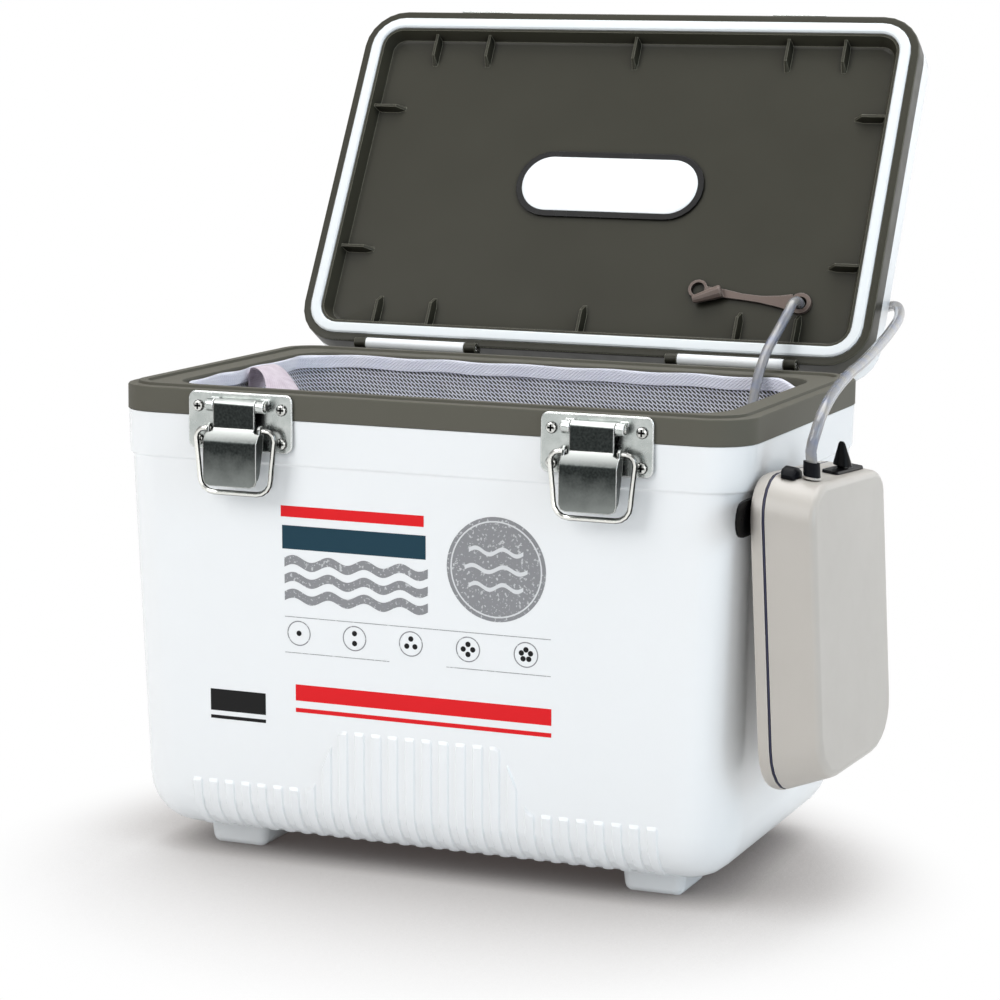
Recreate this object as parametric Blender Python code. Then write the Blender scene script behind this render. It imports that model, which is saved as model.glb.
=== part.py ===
"""Insulated live-bait cooler: a moulded tub and hinged lid, two draw latches, a hung net and an air pump.

The tub stands on its feet with the lid folded open past upright. Lengths are in metres, +Z is up, the
latches face -Y and the pump hangs on the +X side.
"""
import math

import bmesh
import bpy
from mathutils import Matrix, Vector

# Tub: outside size at the rim, and the walls
TUB_WIDTH = 0.305
TUB_DEPTH = 0.193
RIM_HEIGHT = 0.2205
RIM_RADIUS = 0.0210
BODY_RADIUS = 0.0250
BOTTOM_RADIUS = 0.0240
BODY_DRAFT = math.radians(1.4)
FOOT_HEIGHT = 0.0108
FOOT_SIZE = (0.0305, 0.0355)
FOOT_INSET = (0.0485, 0.0483)
FOOT_RADIUS = 0.0050
FOOT_FLARE = 0.0010
INSULATED_WALL = 0.0190
FLOOR_THICKNESS = 0.0202
SHELL_WALL = 0.0022
LINER_WALL = 0.0020
CAVITY_RADIUS = 0.0200
CAVITY_DRAFT = math.radians(2.0)
CAVITY_FILLET = 0.0090
RIM_BAND_HEIGHT = 0.0117
RIM_EDGE = 0.0009
STEP_BELOW_RIM = 0.0323
STEP_DEPTH = 0.0022
BAND_DRAFT = 0.0005
TONGUE_HEIGHT = 0.0085
RIDGE_INSET = 0.0050
RIDGE_WIDTH = 0.0040
RIDGE_HEIGHT = 0.0012

# Flutes down the front, under a ledge that rises in the middle
FLUTE_COUNT = 28
FLUTE_PITCH = 0.0083
FLUTE_WIDTH = 0.0062
FLUTE_PROUD = 0.0011
FLUTE_SINK = 0.0006
FLUTE_RUN_IN = 0.0022
LEDGE_HEIGHT = 0.0385
LEDGE_CENTRE_HEIGHT = 0.0675
LEDGE_RISE_INSIDE = 0.0375
LEDGE_RISE_OUTSIDE = 0.0555

# Lid
LID_SIDE_INSET = 0.0008
LID_GAP = 0.0027
LID_BAND_HEIGHT = 0.0114
LID_HEIGHT = 0.0276
LID_WALL = 0.0022
LID_EDGE_RADIUS = 0.0045
LID_OPEN = math.radians(119.84)
GROOVE_INSET = 0.0040
GROOVE_WIDTH = 0.0062
GROOVE_DEPTH = 0.0030
GASKET_PROUD = 0.0012
PAN_DEPTH = 0.0074
PAN_LIP = 0.0012
PAN_WALL_RUN = 0.0020
GUSSET_LENGTH = 0.0155
GUSSET_CREST = 0.0112
GUSSET_HEIGHT = 0.0048
GUSSET_TOP = 0.0014
GUSSET_FOOT = 0.0038
GUSSET_PLACES_X = (0.0, 0.0822, 0.1122)
GUSSET_PLACE_Y = 0.0413

# Lid hinges
HINGE_PLACE_X = 0.0840
HINGE_BEHIND = 0.0006
HINGE_ABOVE_RIM = 0.0031
KNUCKLE_RADIUS = 0.0028
KNUCKLE_LENGTH = 0.0540
EAR_LENGTH = 0.0060
HINGE_PIN_RADIUS = 0.0012
HINGE_BLOCK_DROP = 0.0280
HINGE_BLOCK_THICKNESS = 0.0028
HINGE_SCREW_PLACE = 0.0190
HINGE_SCREW_DROP = 0.0190

# Draw latches
LATCH_PLACE_X = 0.0860
PLATE_SIZE = (0.0521, 0.0266)
PLATE_THICKNESS = 0.0012
PLATE_RADIUS = 0.0035
PLATE_TOP_BELOW_RIM = 0.0003
LATCH_SCREW_PLACE = 0.0209
LATCH_SCREW_DROPS = (0.0069, 0.0223)
LATCH_AXIS_DROP = 0.0056
LATCH_AXIS_PROUD = 0.0036
ROLL_RADIUS = 0.0030
ROLL_HALF_LENGTH = 0.0102
PLATE_EAR_LENGTH = 0.0038
LATCH_PIN_RADIUS = 0.0014
LEVER_SHEET = 0.0011
LEVER_HALF_WIDTH = 0.0133
LEVER_LENGTH = 0.0361
LEVER_BULGE = 0.0044
LEVER_BEVEL_TOP = 0.0101
LEVER_BEVEL_RUN = 0.0060
BAIL_PIVOT_DROP = 0.0106
BAIL_PIVOT_PROUD = 0.0014
BAIL_RADIUS = 0.00125
BAIL_REACH = 0.02905
BAIL_HALF_WIDTH = 0.0196
BAIL_BAR_HALF_WIDTH = 0.0178
BAIL_CORNER = 0.0070
LOCKED_ANGLE = math.radians(189.8)
KEEPER_WIDTH = 0.0280
KEEPER_SHEET = 0.0008
KEEPER_HOOK_WIDTH = 0.0200
KEEPER_LIP = 0.0026
KEEPER_DROP = 0.0014
KEEPER_HOOK_SHEET = 0.0010

# Fasteners
SCREW_HEAD_RADIUS = 0.0027
SCREW_HEAD_HEIGHT = 0.0012
SCREW_SHANK_RADIUS = 0.0015
LATCH_SCREW_LENGTH = 0.0038
HINGE_SCREW_LENGTH = 0.0056

# Net
NET_GAP = 0.0010
NET_WALL = 0.0012
NET_TOP_BELOW_RIM = 0.0008
HEM_HEIGHT = 0.0062
HEM_WALL = 0.0016
STRAP_WIDTH = 0.0180
STRAP_THICKNESS = 0.0012
# Strap line from the hem's left side over to its front: place inwards from the hem's inner
# left and front faces and above the rim, with the turn of the strap's width in degrees
STRAP_LINE = (
    ((0.0002, 0.0805, -0.0120), 90), ((0.0003, 0.0804, -0.0065), 90), ((0.0013, 0.0802, -0.0026), 90),
    ((0.0046, 0.0794, -0.0010), 86), ((0.0100, 0.0764, -0.0018), 72), ((0.0170, 0.0704, -0.0050), 55),
    ((0.0240, 0.0615, -0.0096), 40), ((0.0305, 0.0485, -0.0150), 29), ((0.0360, 0.0325, -0.0202), 19),
    ((0.0396, 0.0160, -0.0250), 9), ((0.0412, 0.0046, -0.0290), 2), ((0.0415, 0.0014, -0.0340), 0),
)

# Air pump, in its own frame: +X out from the tub, +Y to the rear, +Z up
PUMP_THICKNESS = 0.0300
PUMP_WIDTH = 0.0895
PUMP_ABOVE_HANGER = 0.0185
PUMP_BELOW_HANGER = 0.1230
PUMP_WALL = 0.0018
PUMP_BACK_RADIUS = 0.0026
PUMP_FRONT_TOP_RADIUS = 0.0195
PUMP_REAR_TOP_RADIUS = 0.0110
PUMP_FRONT_BOTTOM_RADIUS = 0.0220
PUMP_REAR_BOTTOM_RADIUS = 0.0240
PUMP_FACE_RADIUS = 0.0030
PUMP_SEAM = 0.0061
PUMP_SEAL = 0.0008
PUMP_REAR_TAPER = 0.047
PUMP_TOP_FALL = 0.0043
PUMP_BOTTOM_RISE = 0.0075
PUMP_SIDE_DRAFT = 0.0008
PUMP_TURN = math.radians(-5.0)
PUMP_LEAN = math.radians(-3.4)
PUMP_FRONT_Y = -0.0909
HANGER_BELOW_RIM = 0.0425
PUMP_GAP = 0.0029
HANGER_LENGTH = 0.0620
HANGER_HEIGHT = 0.0156
HANGER_OVERHANG = 0.0110
NIPPLE_PLACE = (0.0220, 0.0200)
NIPPLE_RADIUS = 0.0021
NIPPLE_HEIGHT = 0.0040
NIPPLE_FLANGE_RADIUS = 0.0038
SLEEVE_RADIUS = 0.0038
SLEEVE_HEIGHT = 0.0065
PLUG_PLACE_X = 0.0134
PLUG_HALF_WIDTH = 0.0040
PLUG_PROUD = 0.0040
PLUG_ANGLES = (math.radians(78.0), math.radians(110.0))
SWITCH_PLACE = (0.0205, 0.0610)
SWITCH_BEZEL = (0.0078, 0.0340, 0.0012)
SWITCH_LEVER_HEIGHT = 0.0125
SWITCH_RADIUS = 0.0042
SWITCH_LIFT = 0.0010
SWITCH_STEM = (0.0018, 0.0024)
CELL_RADIUS = 0.00725
CELL_LENGTH = 0.0500
CELL_TIP_RADIUS = 0.0027
CELL_TIP = 0.0014
CELL_PITCH = 0.0160
CELL_PLACE = 0.0400
CELL_ABOVE_BOTTOM = 0.0100
CONTACT_THICKNESS = 0.0006
CONTACT_WIDTH = 0.0100
MOTOR_RADIUS = 0.0110
MOTOR_LENGTH = 0.0300
MOTOR_SHAFT_RADIUS = 0.0035
MOTOR_SHAFT = 0.0015
MOTOR_DROP = 0.0120
PUMP_HEAD_SIZE = (0.0230, 0.0260, 0.0320)
PUMP_HEAD_DROP = 0.0240
PUMP_HEAD_PLACE = 0.0235

# Lid furniture
PLATE_FACE_SIZE = (0.0950, 0.0305)
PLATE_BORDER = 0.0032
INFO_PLATE_THICKNESS = 0.0010
GROMMET_PLACE = (0.1118, 0.0352)
GROMMET_BORE = 0.0035
GROMMET_BODY_RADIUS = 0.0047
GROMMET_FLANGE_RADIUS = 0.0058
GROMMET_FLANGE = 0.0014
PLUG_STRAP_THICKNESS = 0.0012

# Air line
HOSE_RADIUS = 0.0025
HOSE_SAG = 0.0006
STONE_RADIUS = 0.0065
STONE_LENGTH = 0.0240

# Clearances
FIT = 0.0003
TOUCH = 0.0004

CORNER_STEPS = 6
ROUND_STEPS = 12

MATERIALS = {
    "white_polyethylene": ((0.86, 0.88, 0.89), 0.38, 0.0),
    "taupe_polyethylene": ((0.085, 0.082, 0.062), 0.42, 0.0),
    "foam": ((0.86, 0.80, 0.62), 0.90, 0.0),
    "gasket_rubber": ((0.82, 0.85, 0.86), 0.55, 0.0),
    "stainless_sheet": ((0.62, 0.62, 0.60), 0.30, 1.0),
    "stainless_wire": ((0.70, 0.70, 0.68), 0.22, 1.0),
    "net_mesh": ((0.78, 0.78, 0.85), 0.80, 0.0),
    "net_webbing": ((0.80, 0.79, 0.84), 0.75, 0.0),
    "pump_plastic": ((0.72, 0.71, 0.69), 0.35, 0.0),
    "pump_seal_rubber": ((0.012, 0.012, 0.050), 0.50, 0.0),
    "black_plastic": ((0.012, 0.012, 0.013), 0.40, 0.0),
    "black_rubber": ((0.015, 0.015, 0.017), 0.65, 0.0),
    "brown_rubber": ((0.105, 0.080, 0.065), 0.60, 0.0),
    "clear_hose": ((0.62, 0.60, 0.60), 0.25, 0.0),
    "plate_white": ((0.82, 0.86, 0.88), 0.35, 0.0),
    "air_stone": ((0.20, 0.33, 0.50), 0.95, 0.0),
    "cell_jacket": ((0.10, 0.10, 0.11), 0.35, 0.0),
    "motor_steel": ((0.55, 0.55, 0.55), 0.35, 1.0),
    "contact_metal": ((0.70, 0.62, 0.42), 0.30, 1.0),
}

# Heights and half sizes that follow from the driving dimensions
HALF_WIDTH = TUB_WIDTH / 2
HALF_DEPTH = TUB_DEPTH / 2
BAND_BOTTOM = RIM_HEIGHT - RIM_BAND_HEIGHT
STEP_HEIGHT = RIM_HEIGHT - STEP_BELOW_RIM
FLOOR_HEIGHT = FOOT_HEIGHT + FLOOR_THICKNESS
LID_FACE = RIM_HEIGHT + LID_GAP
HINGE_Y = HALF_DEPTH + HINGE_BEHIND
HINGE_Z = RIM_HEIGHT + HINGE_ABOVE_RIM
TUB_FACE_Y = -HALF_DEPTH
PLATE_FRONT_Y = TUB_FACE_Y - FIT - PLATE_THICKNESS
PLATE_TOP = RIM_HEIGHT - PLATE_TOP_BELOW_RIM
PLATE_MIDDLE = PLATE_TOP - PLATE_SIZE[1] / 2
LATCH_AXIS_Y = PLATE_FRONT_Y - LATCH_AXIS_PROUD
LATCH_AXIS_Z = PLATE_TOP - LATCH_AXIS_DROP
BAIL_Y = LATCH_AXIS_Y - BAIL_PIVOT_PROUD
BAIL_Z = LATCH_AXIS_Z - BAIL_PIVOT_DROP
HANGER_Z = RIM_HEIGHT - HANGER_BELOW_RIM


def rounded(half_u, half_v, radius, steps=CORNER_STEPS, centre=(0.0, 0.0)):
    """Outline of a rounded rectangle; four radii start at its (+U, +V) corner and go anticlockwise."""
    radii = radius if isinstance(radius, tuple) else (radius,) * 4
    points = []
    for index, (side_u, side_v) in enumerate(((1, 1), (-1, 1), (-1, -1), (1, -1))):
        corner = radii[index]
        middle_u = centre[0] + side_u * (half_u - corner)
        middle_v = centre[1] + side_v * (half_v - corner)
        for step in range(steps + 1):
            angle = math.pi / 2 * (index + step / steps)
            points.append((middle_u + corner * math.cos(angle), middle_v + corner * math.sin(angle)))
    return points


def circle(radius, steps=ROUND_STEPS, centre=(0.0, 0.0)):
    """Outline of a circle."""
    angles = [2 * math.pi * (step + 0.5) / steps for step in range(steps)]
    return [(centre[0] + radius * math.cos(a), centre[1] + radius * math.sin(a)) for a in angles]


def facing_x(points, x):
    """Stand an outline of (y, z) points up at one x."""
    return [Vector((x, u, v)) for u, v in points]


def facing_y(points, y):
    """Stand an outline of (x, z) points up at one y."""
    return [Vector((u, y, v)) for u, v in points]


def level(points, z):
    """Lay an outline of (x, y) points at one height."""
    return [Vector((u, v, z)) for u, v in points]


FACING = {"X": facing_x, "Y": facing_y, "Z": level}


def loft(rings, looped=False):
    """Skin equal rings of points; the two end rings are capped unless the skin closes on itself."""
    mesh = bmesh.new()
    rows = [[mesh.verts.new(point) for point in ring] for ring in rings]
    pairs = list(zip(rows, rows[1:]))
    if looped:
        pairs.append((rows[-1], rows[0]))
    else:
        mesh.faces.new(rows[0])
        mesh.faces.new(rows[-1])
    for near, far in pairs:
        for index in range(len(near)):
            following = (index + 1) % len(near)
            mesh.faces.new((near[index], near[following], far[following], far[index]))
    bmesh.ops.recalc_face_normals(mesh, faces=mesh.faces)
    return mesh


def prism(points, axis, low, high):
    """Extrude an outline along one axis."""
    return loft([FACING[axis](points, low), FACING[axis](points, high)])


def block(low, high):
    """Rectangular block between two corners."""
    (x0, y0, z0), (x1, y1, z1) = low, high
    return prism([(x0, y0), (x1, y0), (x1, y1), (x0, y1)], "Z", z0, z1)


def turned(profile, axis, centre, looped=False, steps=ROUND_STEPS):
    """Revolve (place along the axis, radius) pairs about an axis through a centre."""
    rings = [[point + Vector(centre) for point in FACING[axis](circle(radius, steps), place)]
             for place, radius in profile]
    return loft(rings, looped)


def swept(path, sections):
    """Skin one flat (half width, half thickness) section per path point; each has a width vector."""
    rings = []
    for index, (point, across) in enumerate(path):
        ahead = Vector(path[min(index + 1, len(path) - 1)][0])
        behind = Vector(path[max(index - 1, 0)][0])
        tangent = (ahead - behind).normalized()
        width = Vector(across)
        width = (width - tangent * width.dot(tangent)).normalized()
        normal = tangent.cross(width)
        half_width, half_thickness = sections[index]
        rings.append([Vector(point) + width * half_width * u + normal * half_thickness * v
                      for u, v in ((-1, -1), (1, -1), (1, 1), (-1, 1))])
    return loft(rings)


def wire(points, radius, steps=8):
    """Round bar along a line of points."""
    places = [Vector(point) for point in points]
    rings = []
    side = None
    for index, place in enumerate(places):
        tangent = (places[min(index + 1, len(places) - 1)] - places[max(index - 1, 0)]).normalized()
        if side is None:
            side = tangent.orthogonal()
        side = (side - tangent * side.dot(tangent)).normalized()
        upright = tangent.cross(side)
        rings.append([place + side * u + upright * v for u, v in circle(radius, steps)])
    return loft(rings)


def gather(meshes):
    """Put several separate bodies into one mesh."""
    whole = bmesh.new()
    for mesh in meshes:
        copied = [whole.verts.new(vert.co) for vert in mesh.verts]
        mesh.verts.index_update()
        for face in mesh.faces:
            whole.faces.new([copied[vert.index] for vert in face.verts])
        mesh.free()
    bmesh.ops.recalc_face_normals(whole, faces=whole.faces)
    return whole


def combine(base, tool, operation):
    """Join a tool body to a base body, or cut it away."""
    pair = []
    for label, mesh in (("base", base), ("tool", tool)):
        data = bpy.data.meshes.new(label)
        mesh.to_mesh(data)
        mesh.free()
        holder = bpy.data.objects.new(label, data)
        bpy.context.scene.collection.objects.link(holder)
        pair.append(holder)
    step = pair[0].modifiers.new("combine", "BOOLEAN")
    step.operation = operation
    step.solver = "EXACT"
    step.object = pair[1]
    evaluated = pair[0].evaluated_get(bpy.context.evaluated_depsgraph_get())
    result = bmesh.new()
    result.from_mesh(evaluated.to_mesh())
    evaluated.to_mesh_clear()
    for holder in pair:
        data = holder.data
        bpy.data.objects.remove(holder)
        bpy.data.meshes.remove(data)
    bmesh.ops.remove_doubles(result, verts=result.verts, dist=0.00002)
    bmesh.ops.dissolve_degenerate(result, edges=result.edges, dist=0.00001)
    return result


def joined(base, *tools):
    """Fuse bodies that overlap a base body."""
    for tool in tools:
        base = combine(base, tool, "UNION")
    return base


def cut(base, *tools):
    """Cut bodies out of a base body."""
    for tool in tools:
        base = combine(base, tool, "DIFFERENCE")
    return base


class Assembly:
    """Places named objects and joint frames; every position is given as in the closed, upright box."""

    def __init__(self, name):
        self.places = {}
        self.root = self.frame(name, (0, 0, 0))

    def frame(self, name, origin, parent=None, turn=(0, 0, 0)):
        """Add an empty that carries other objects."""
        return self.put(bpy.data.objects.new(name, None), origin, parent, turn)

    def put(self, item, origin, parent, turn=(0, 0, 0)):
        """Link an object at its origin under its parent."""
        bpy.context.scene.collection.objects.link(item)
        if parent is None and self.places:
            parent = self.root
        item.parent = parent
        start = self.places[parent] if parent else Vector((0, 0, 0))
        item.location = Vector(origin) - start
        item.rotation_euler = turn
        self.places[item] = Vector(origin)
        return item

    def add(self, name, mesh, material, parent=None, origin=None):
        """Turn a body into a named object with its material."""
        start = Vector(origin) if origin else self.places[parent or self.root]
        bmesh.ops.translate(mesh, verts=mesh.verts, vec=-start)
        bmesh.ops.recalc_face_normals(mesh, faces=mesh.faces)
        for face in mesh.faces:
            face.smooth = True
        for edge in mesh.edges:
            edge.smooth = edge.is_manifold and edge.calc_face_angle(math.pi) < math.radians(34)
        data = bpy.data.meshes.new(name)
        mesh.to_mesh(data)
        mesh.free()
        item = bpy.data.objects.new(name, data)
        item.data.materials.append(surface(name, material))
        return self.put(item, start, parent)


def surface(name, kind):
    """Principled material for one object."""
    color, roughness, metallic = MATERIALS[kind]
    material = bpy.data.materials.new(name + "_" + kind)
    material.use_nodes = True
    shader = material.node_tree.nodes["Principled BSDF"]
    shader.inputs["Base Color"].default_value = (*color, 1.0)
    shader.inputs["Roughness"].default_value = roughness
    shader.inputs["Metallic"].default_value = metallic
    return material


def fillet_angles(count):
    """Angles from upright to level for a floor fillet."""
    return [math.pi / 2 * step / count for step in range(count + 1)]


def tub_ring(inset, z):
    """Outline of the tub set in from its rim."""
    return level(rounded(HALF_WIDTH - inset, HALF_DEPTH - inset, max(RIM_RADIUS - inset, 0.003)), z)


def body_inset(z):
    """How far the drafted wall below the step stands in from the rim."""
    return STEP_DEPTH + (STEP_HEIGHT - z) * math.tan(BODY_DRAFT)


def body_rings(offset):
    """Outlines of the lower body, from the step down to the flat bottom, offset inwards."""
    rings = []
    centre_z = FOOT_HEIGHT + BOTTOM_RADIUS
    for z in (STEP_HEIGHT - 0.0014, (STEP_HEIGHT + centre_z) / 2):
        inset = body_inset(z) + offset
        share = (STEP_HEIGHT - z) / (STEP_HEIGHT - centre_z)
        top_corner = RIM_RADIUS - STEP_DEPTH
        corner = top_corner + (BODY_RADIUS - top_corner) * share - offset
        rings.append(level(rounded(HALF_WIDTH - inset, HALF_DEPTH - inset, corner), z))
    for angle in fillet_angles(6):
        reach = (BOTTOM_RADIUS - offset) * math.cos(angle)
        inset = body_inset(centre_z) + BOTTOM_RADIUS - reach
        corner = max(BODY_RADIUS - BOTTOM_RADIUS + reach, 0.002)
        z = centre_z - (BOTTOM_RADIUS - offset) * math.sin(angle)
        rings.append(level(rounded(HALF_WIDTH - inset, HALF_DEPTH - inset, corner), z))
    return rings


def cavity_inset(z):
    """How far the drafted cavity wall stands in from the rim."""
    return INSULATED_WALL + (RIM_HEIGHT - z) * math.tan(CAVITY_DRAFT)


def cavity_ring(offset, z):
    """Outline of the cavity at one height, offset outwards."""
    inset = cavity_inset(z) - offset
    corner = CAVITY_RADIUS - (RIM_HEIGHT - z) * 0.03 + offset
    return level(rounded(HALF_WIDTH - inset, HALF_DEPTH - inset, corner), z)


def cavity_rings(offset, top):
    """Outlines of the cavity from a height down to its flat floor, offset outwards."""
    centre_z = FLOOR_HEIGHT + CAVITY_FILLET
    rings = [cavity_ring(offset, top), cavity_ring(offset, (top + centre_z) / 2)]
    base_corner = CAVITY_RADIUS - (RIM_HEIGHT - centre_z) * 0.03
    for angle in fillet_angles(4):
        reach = (CAVITY_FILLET + offset) * math.cos(angle)
        inset = cavity_inset(centre_z) + CAVITY_FILLET - reach
        corner = base_corner - CAVITY_FILLET + reach
        z = centre_z - (CAVITY_FILLET + offset) * math.sin(angle)
        rings.append(level(rounded(HALF_WIDTH - inset, HALF_DEPTH - inset, corner), z))
    return rings


def ledge_height(x):
    """Height at which the flutes begin, raised in the middle by a smooth S on each side."""
    share = (abs(x) - LEDGE_RISE_INSIDE) / (LEDGE_RISE_OUTSIDE - LEDGE_RISE_INSIDE)
    share = min(max(share, 0.0), 1.0)
    blend = share * share * (3 - 2 * share)
    return LEDGE_CENTRE_HEIGHT + (LEDGE_HEIGHT - LEDGE_CENTRE_HEIGHT) * blend


def flute(x):
    """One convex flute that follows the front wall and the fillet under it."""
    centre_z = FOOT_HEIGHT + BOTTOM_RADIUS
    centre_y = -(HALF_DEPTH - body_inset(centre_z) - BOTTOM_RADIUS)
    section = [(-0.5, -FLUTE_SINK), (-0.32, 0.78 * FLUTE_PROUD), (0.0, FLUTE_PROUD),
               (0.32, 0.78 * FLUTE_PROUD), (0.5, -FLUTE_SINK)]
    rings = []
    for drop, share in ((0.0, 0.0), (FLUTE_RUN_IN, 1.0)):
        ring = []
        for place, proud in section:
            across = x + place * FLUTE_WIDTH
            z = ledge_height(across) - drop
            height = -FLUTE_SINK + (proud + FLUTE_SINK) * max(share, 0.12)
            ring.append(Vector((across, -(HALF_DEPTH - body_inset(z)) - height, z)))
        rings.append(ring)
    for angle, share in ((0, 1.0), (22, 1.0), (43, 1.0), (62, 1.0), (78, 0.15)):
        turn = math.radians(angle)
        ring = []
        for place, proud in section:
            height = -FLUTE_SINK + (proud + FLUTE_SINK) * share
            reach = BOTTOM_RADIUS + height
            ring.append(Vector((x + place * FLUTE_WIDTH, centre_y - reach * math.cos(turn),
                                centre_z - reach * math.sin(turn))))
        rings.append(ring)
    return loft(rings)


def foot(x, y):
    """One moulded foot with a rounded sole."""
    half_x = FOOT_SIZE[0] / 2
    half_y = FOOT_SIZE[1] / 2
    rings = []
    for inset, z in ((0.0, FOOT_HEIGHT + SHELL_WALL / 2), (0.0, FOOT_HEIGHT), (FOOT_FLARE, 0.0028),
                     (FOOT_FLARE * 1.6, 0.0012), (FOOT_FLARE * 3.0, 0.0)):
        rings.append(level(rounded(half_x - inset, half_y - inset, FOOT_RADIUS - inset, 4, (x, y)), z))
    return loft(rings)


def screw_bore(x, y0, y1, z):
    """Clearance hole for a screw along Y."""
    hole = SCREW_SHANK_RADIUS + FIT
    return turned([(y0, hole), (y1, hole)], "Y", (x, 0, z), steps=10)


def screw(x, y, z, length, facing):
    """Pan-head screw; its head stands off the plate face at y and points along facing."""
    under = y + facing * FIT
    profile = [(under + facing * SCREW_HEAD_HEIGHT, SCREW_HEAD_RADIUS * 0.55),
               (under + facing * SCREW_HEAD_HEIGHT * 0.7, SCREW_HEAD_RADIUS * 0.86),
               (under + facing * SCREW_HEAD_HEIGHT * 0.2, SCREW_HEAD_RADIUS),
               (under, SCREW_HEAD_RADIUS), (under, SCREW_SHANK_RADIUS),
               (under - facing * length, SCREW_SHANK_RADIUS)]
    return turned(profile, "Y", (x, 0, z), steps=10)


LATCH_SIDES = (("left", -LATCH_PLACE_X), ("right", LATCH_PLACE_X))
HINGE_SIDES = (("left", -HINGE_PLACE_X), ("right", HINGE_PLACE_X))
LATCH_SCREW_SPOTS = [(x + side * LATCH_SCREW_PLACE, PLATE_TOP - drop)
                     for _, x in LATCH_SIDES for drop in LATCH_SCREW_DROPS for side in (-1, 1)]
HINGE_SCREW_Z = PLATE_TOP - HINGE_SCREW_DROP
HINGE_SCREW_SPOTS = [(x + side * HINGE_SCREW_PLACE, HINGE_SCREW_Z)
                     for _, x in HINGE_SIDES for side in (-1, 1)]
HINGE_BLOCK_BACK = HALF_DEPTH + FIT + HINGE_BLOCK_THICKNESS
HINGE_PIN_HALF = KNUCKLE_LENGTH / 2 + 2 * FIT + EAR_LENGTH


def build_tub(assembly):
    """Shell, liner and the insulation between them."""
    flush = FIT
    tongue_out = LINER_WALL + FIT
    tongue_in = tongue_out + SHELL_WALL
    tongue_top = BAND_BOTTOM + TONGUE_HEIGHT
    outer = [tub_ring(tongue_out, tongue_top), tub_ring(tongue_out, BAND_BOTTOM - FIT),
             tub_ring(flush, BAND_BOTTOM - FIT), tub_ring(flush + BAND_DRAFT, STEP_HEIGHT + 0.0009),
             tub_ring(flush + BAND_DRAFT + 0.0003, STEP_HEIGHT + 0.0002),
             tub_ring(STEP_DEPTH - 0.0003, STEP_HEIGHT - 0.0004)] + body_rings(0.0)
    inner = body_rings(SHELL_WALL)
    inner.reverse()
    shell = loft(outer[::-1] + [tub_ring(tongue_in, tongue_top)] + inner[::-1])
    first = -(FLUTE_COUNT - 1) / 2 * FLUTE_PITCH
    details = [flute(first + index * FLUTE_PITCH) for index in range(FLUTE_COUNT)]
    details += [foot(side_x * (HALF_WIDTH - FOOT_INSET[0]), side_y * (HALF_DEPTH - FOOT_INSET[1]))
                for side_x in (-1, 1) for side_y in (-1, 1)]
    shell = joined(shell, gather(details))
    low_screws = [(x, z) for x, z in LATCH_SCREW_SPOTS if z < BAND_BOTTOM]
    outside = HALF_DEPTH + 0.001
    inside = HALF_DEPTH - SHELL_WALL - 0.0020
    bores = [screw_bore(x, -outside, -inside, z) for x, z in low_screws]
    bores += [screw_bore(x, outside, inside, z) for x, z in HINGE_SCREW_SPOTS]
    assembly.add("tub_shell", cut(shell, gather(bores)), "white_polyethylene")

    land = RIM_HEIGHT
    under = land - LINER_WALL
    edge = cavity_inset(land)
    profile = [tub_ring(LINER_WALL, under), tub_ring(LINER_WALL, BAND_BOTTOM), tub_ring(0.0, BAND_BOTTOM),
               tub_ring(0.0, land - RIM_EDGE), tub_ring(RIM_EDGE * 0.3, land - RIM_EDGE * 0.3),
               tub_ring(RIM_EDGE, land), tub_ring(RIDGE_INSET - 0.0003, land),
               tub_ring(RIDGE_INSET, land + RIDGE_HEIGHT),
               tub_ring(RIDGE_INSET + RIDGE_WIDTH, land + RIDGE_HEIGHT),
               tub_ring(RIDGE_INSET + RIDGE_WIDTH + 0.0003, land)]
    for wider, drop in ((0.0014, 0.0), (0.0004, 0.0004)):
        profile.append(level(rounded(HALF_WIDTH - edge + wider, HALF_DEPTH - edge + wider,
                                     CAVITY_RADIUS + wider), land - drop))
    profile += cavity_rings(0.0, land - 0.0015)
    back = [cavity_ring(LINER_WALL, under)] + cavity_rings(LINER_WALL, under - 0.0040)
    liner = loft(back[::-1] + profile)
    high_screws = [(x, z) for x, z in LATCH_SCREW_SPOTS if z > BAND_BOTTOM]
    bores = [screw_bore(x, -outside, -HALF_DEPTH + LINER_WALL + 0.00015, z) for x, z in high_screws]
    assembly.add("tub_liner", cut(liner, gather(bores)), "taupe_polyethylene")

    gap = SHELL_WALL + FIT
    outer = [tub_ring(tongue_in + FIT, under - FIT), tub_ring(tongue_in + FIT, STEP_HEIGHT)]
    outer += body_rings(gap)
    inner = [cavity_ring(LINER_WALL + FIT, under - FIT)] + cavity_rings(LINER_WALL + FIT, under - 0.0045)
    assembly.add("tub_foam", loft(outer[::-1] + inner), "foam")


def lid_ring(inset, z):
    """Outline of the closed lid set in from its edge."""
    half_x = HALF_WIDTH - LID_SIDE_INSET - inset
    return level(rounded(half_x, HALF_DEPTH - inset, max(RIM_RADIUS - inset, 0.004)), z)


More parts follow.
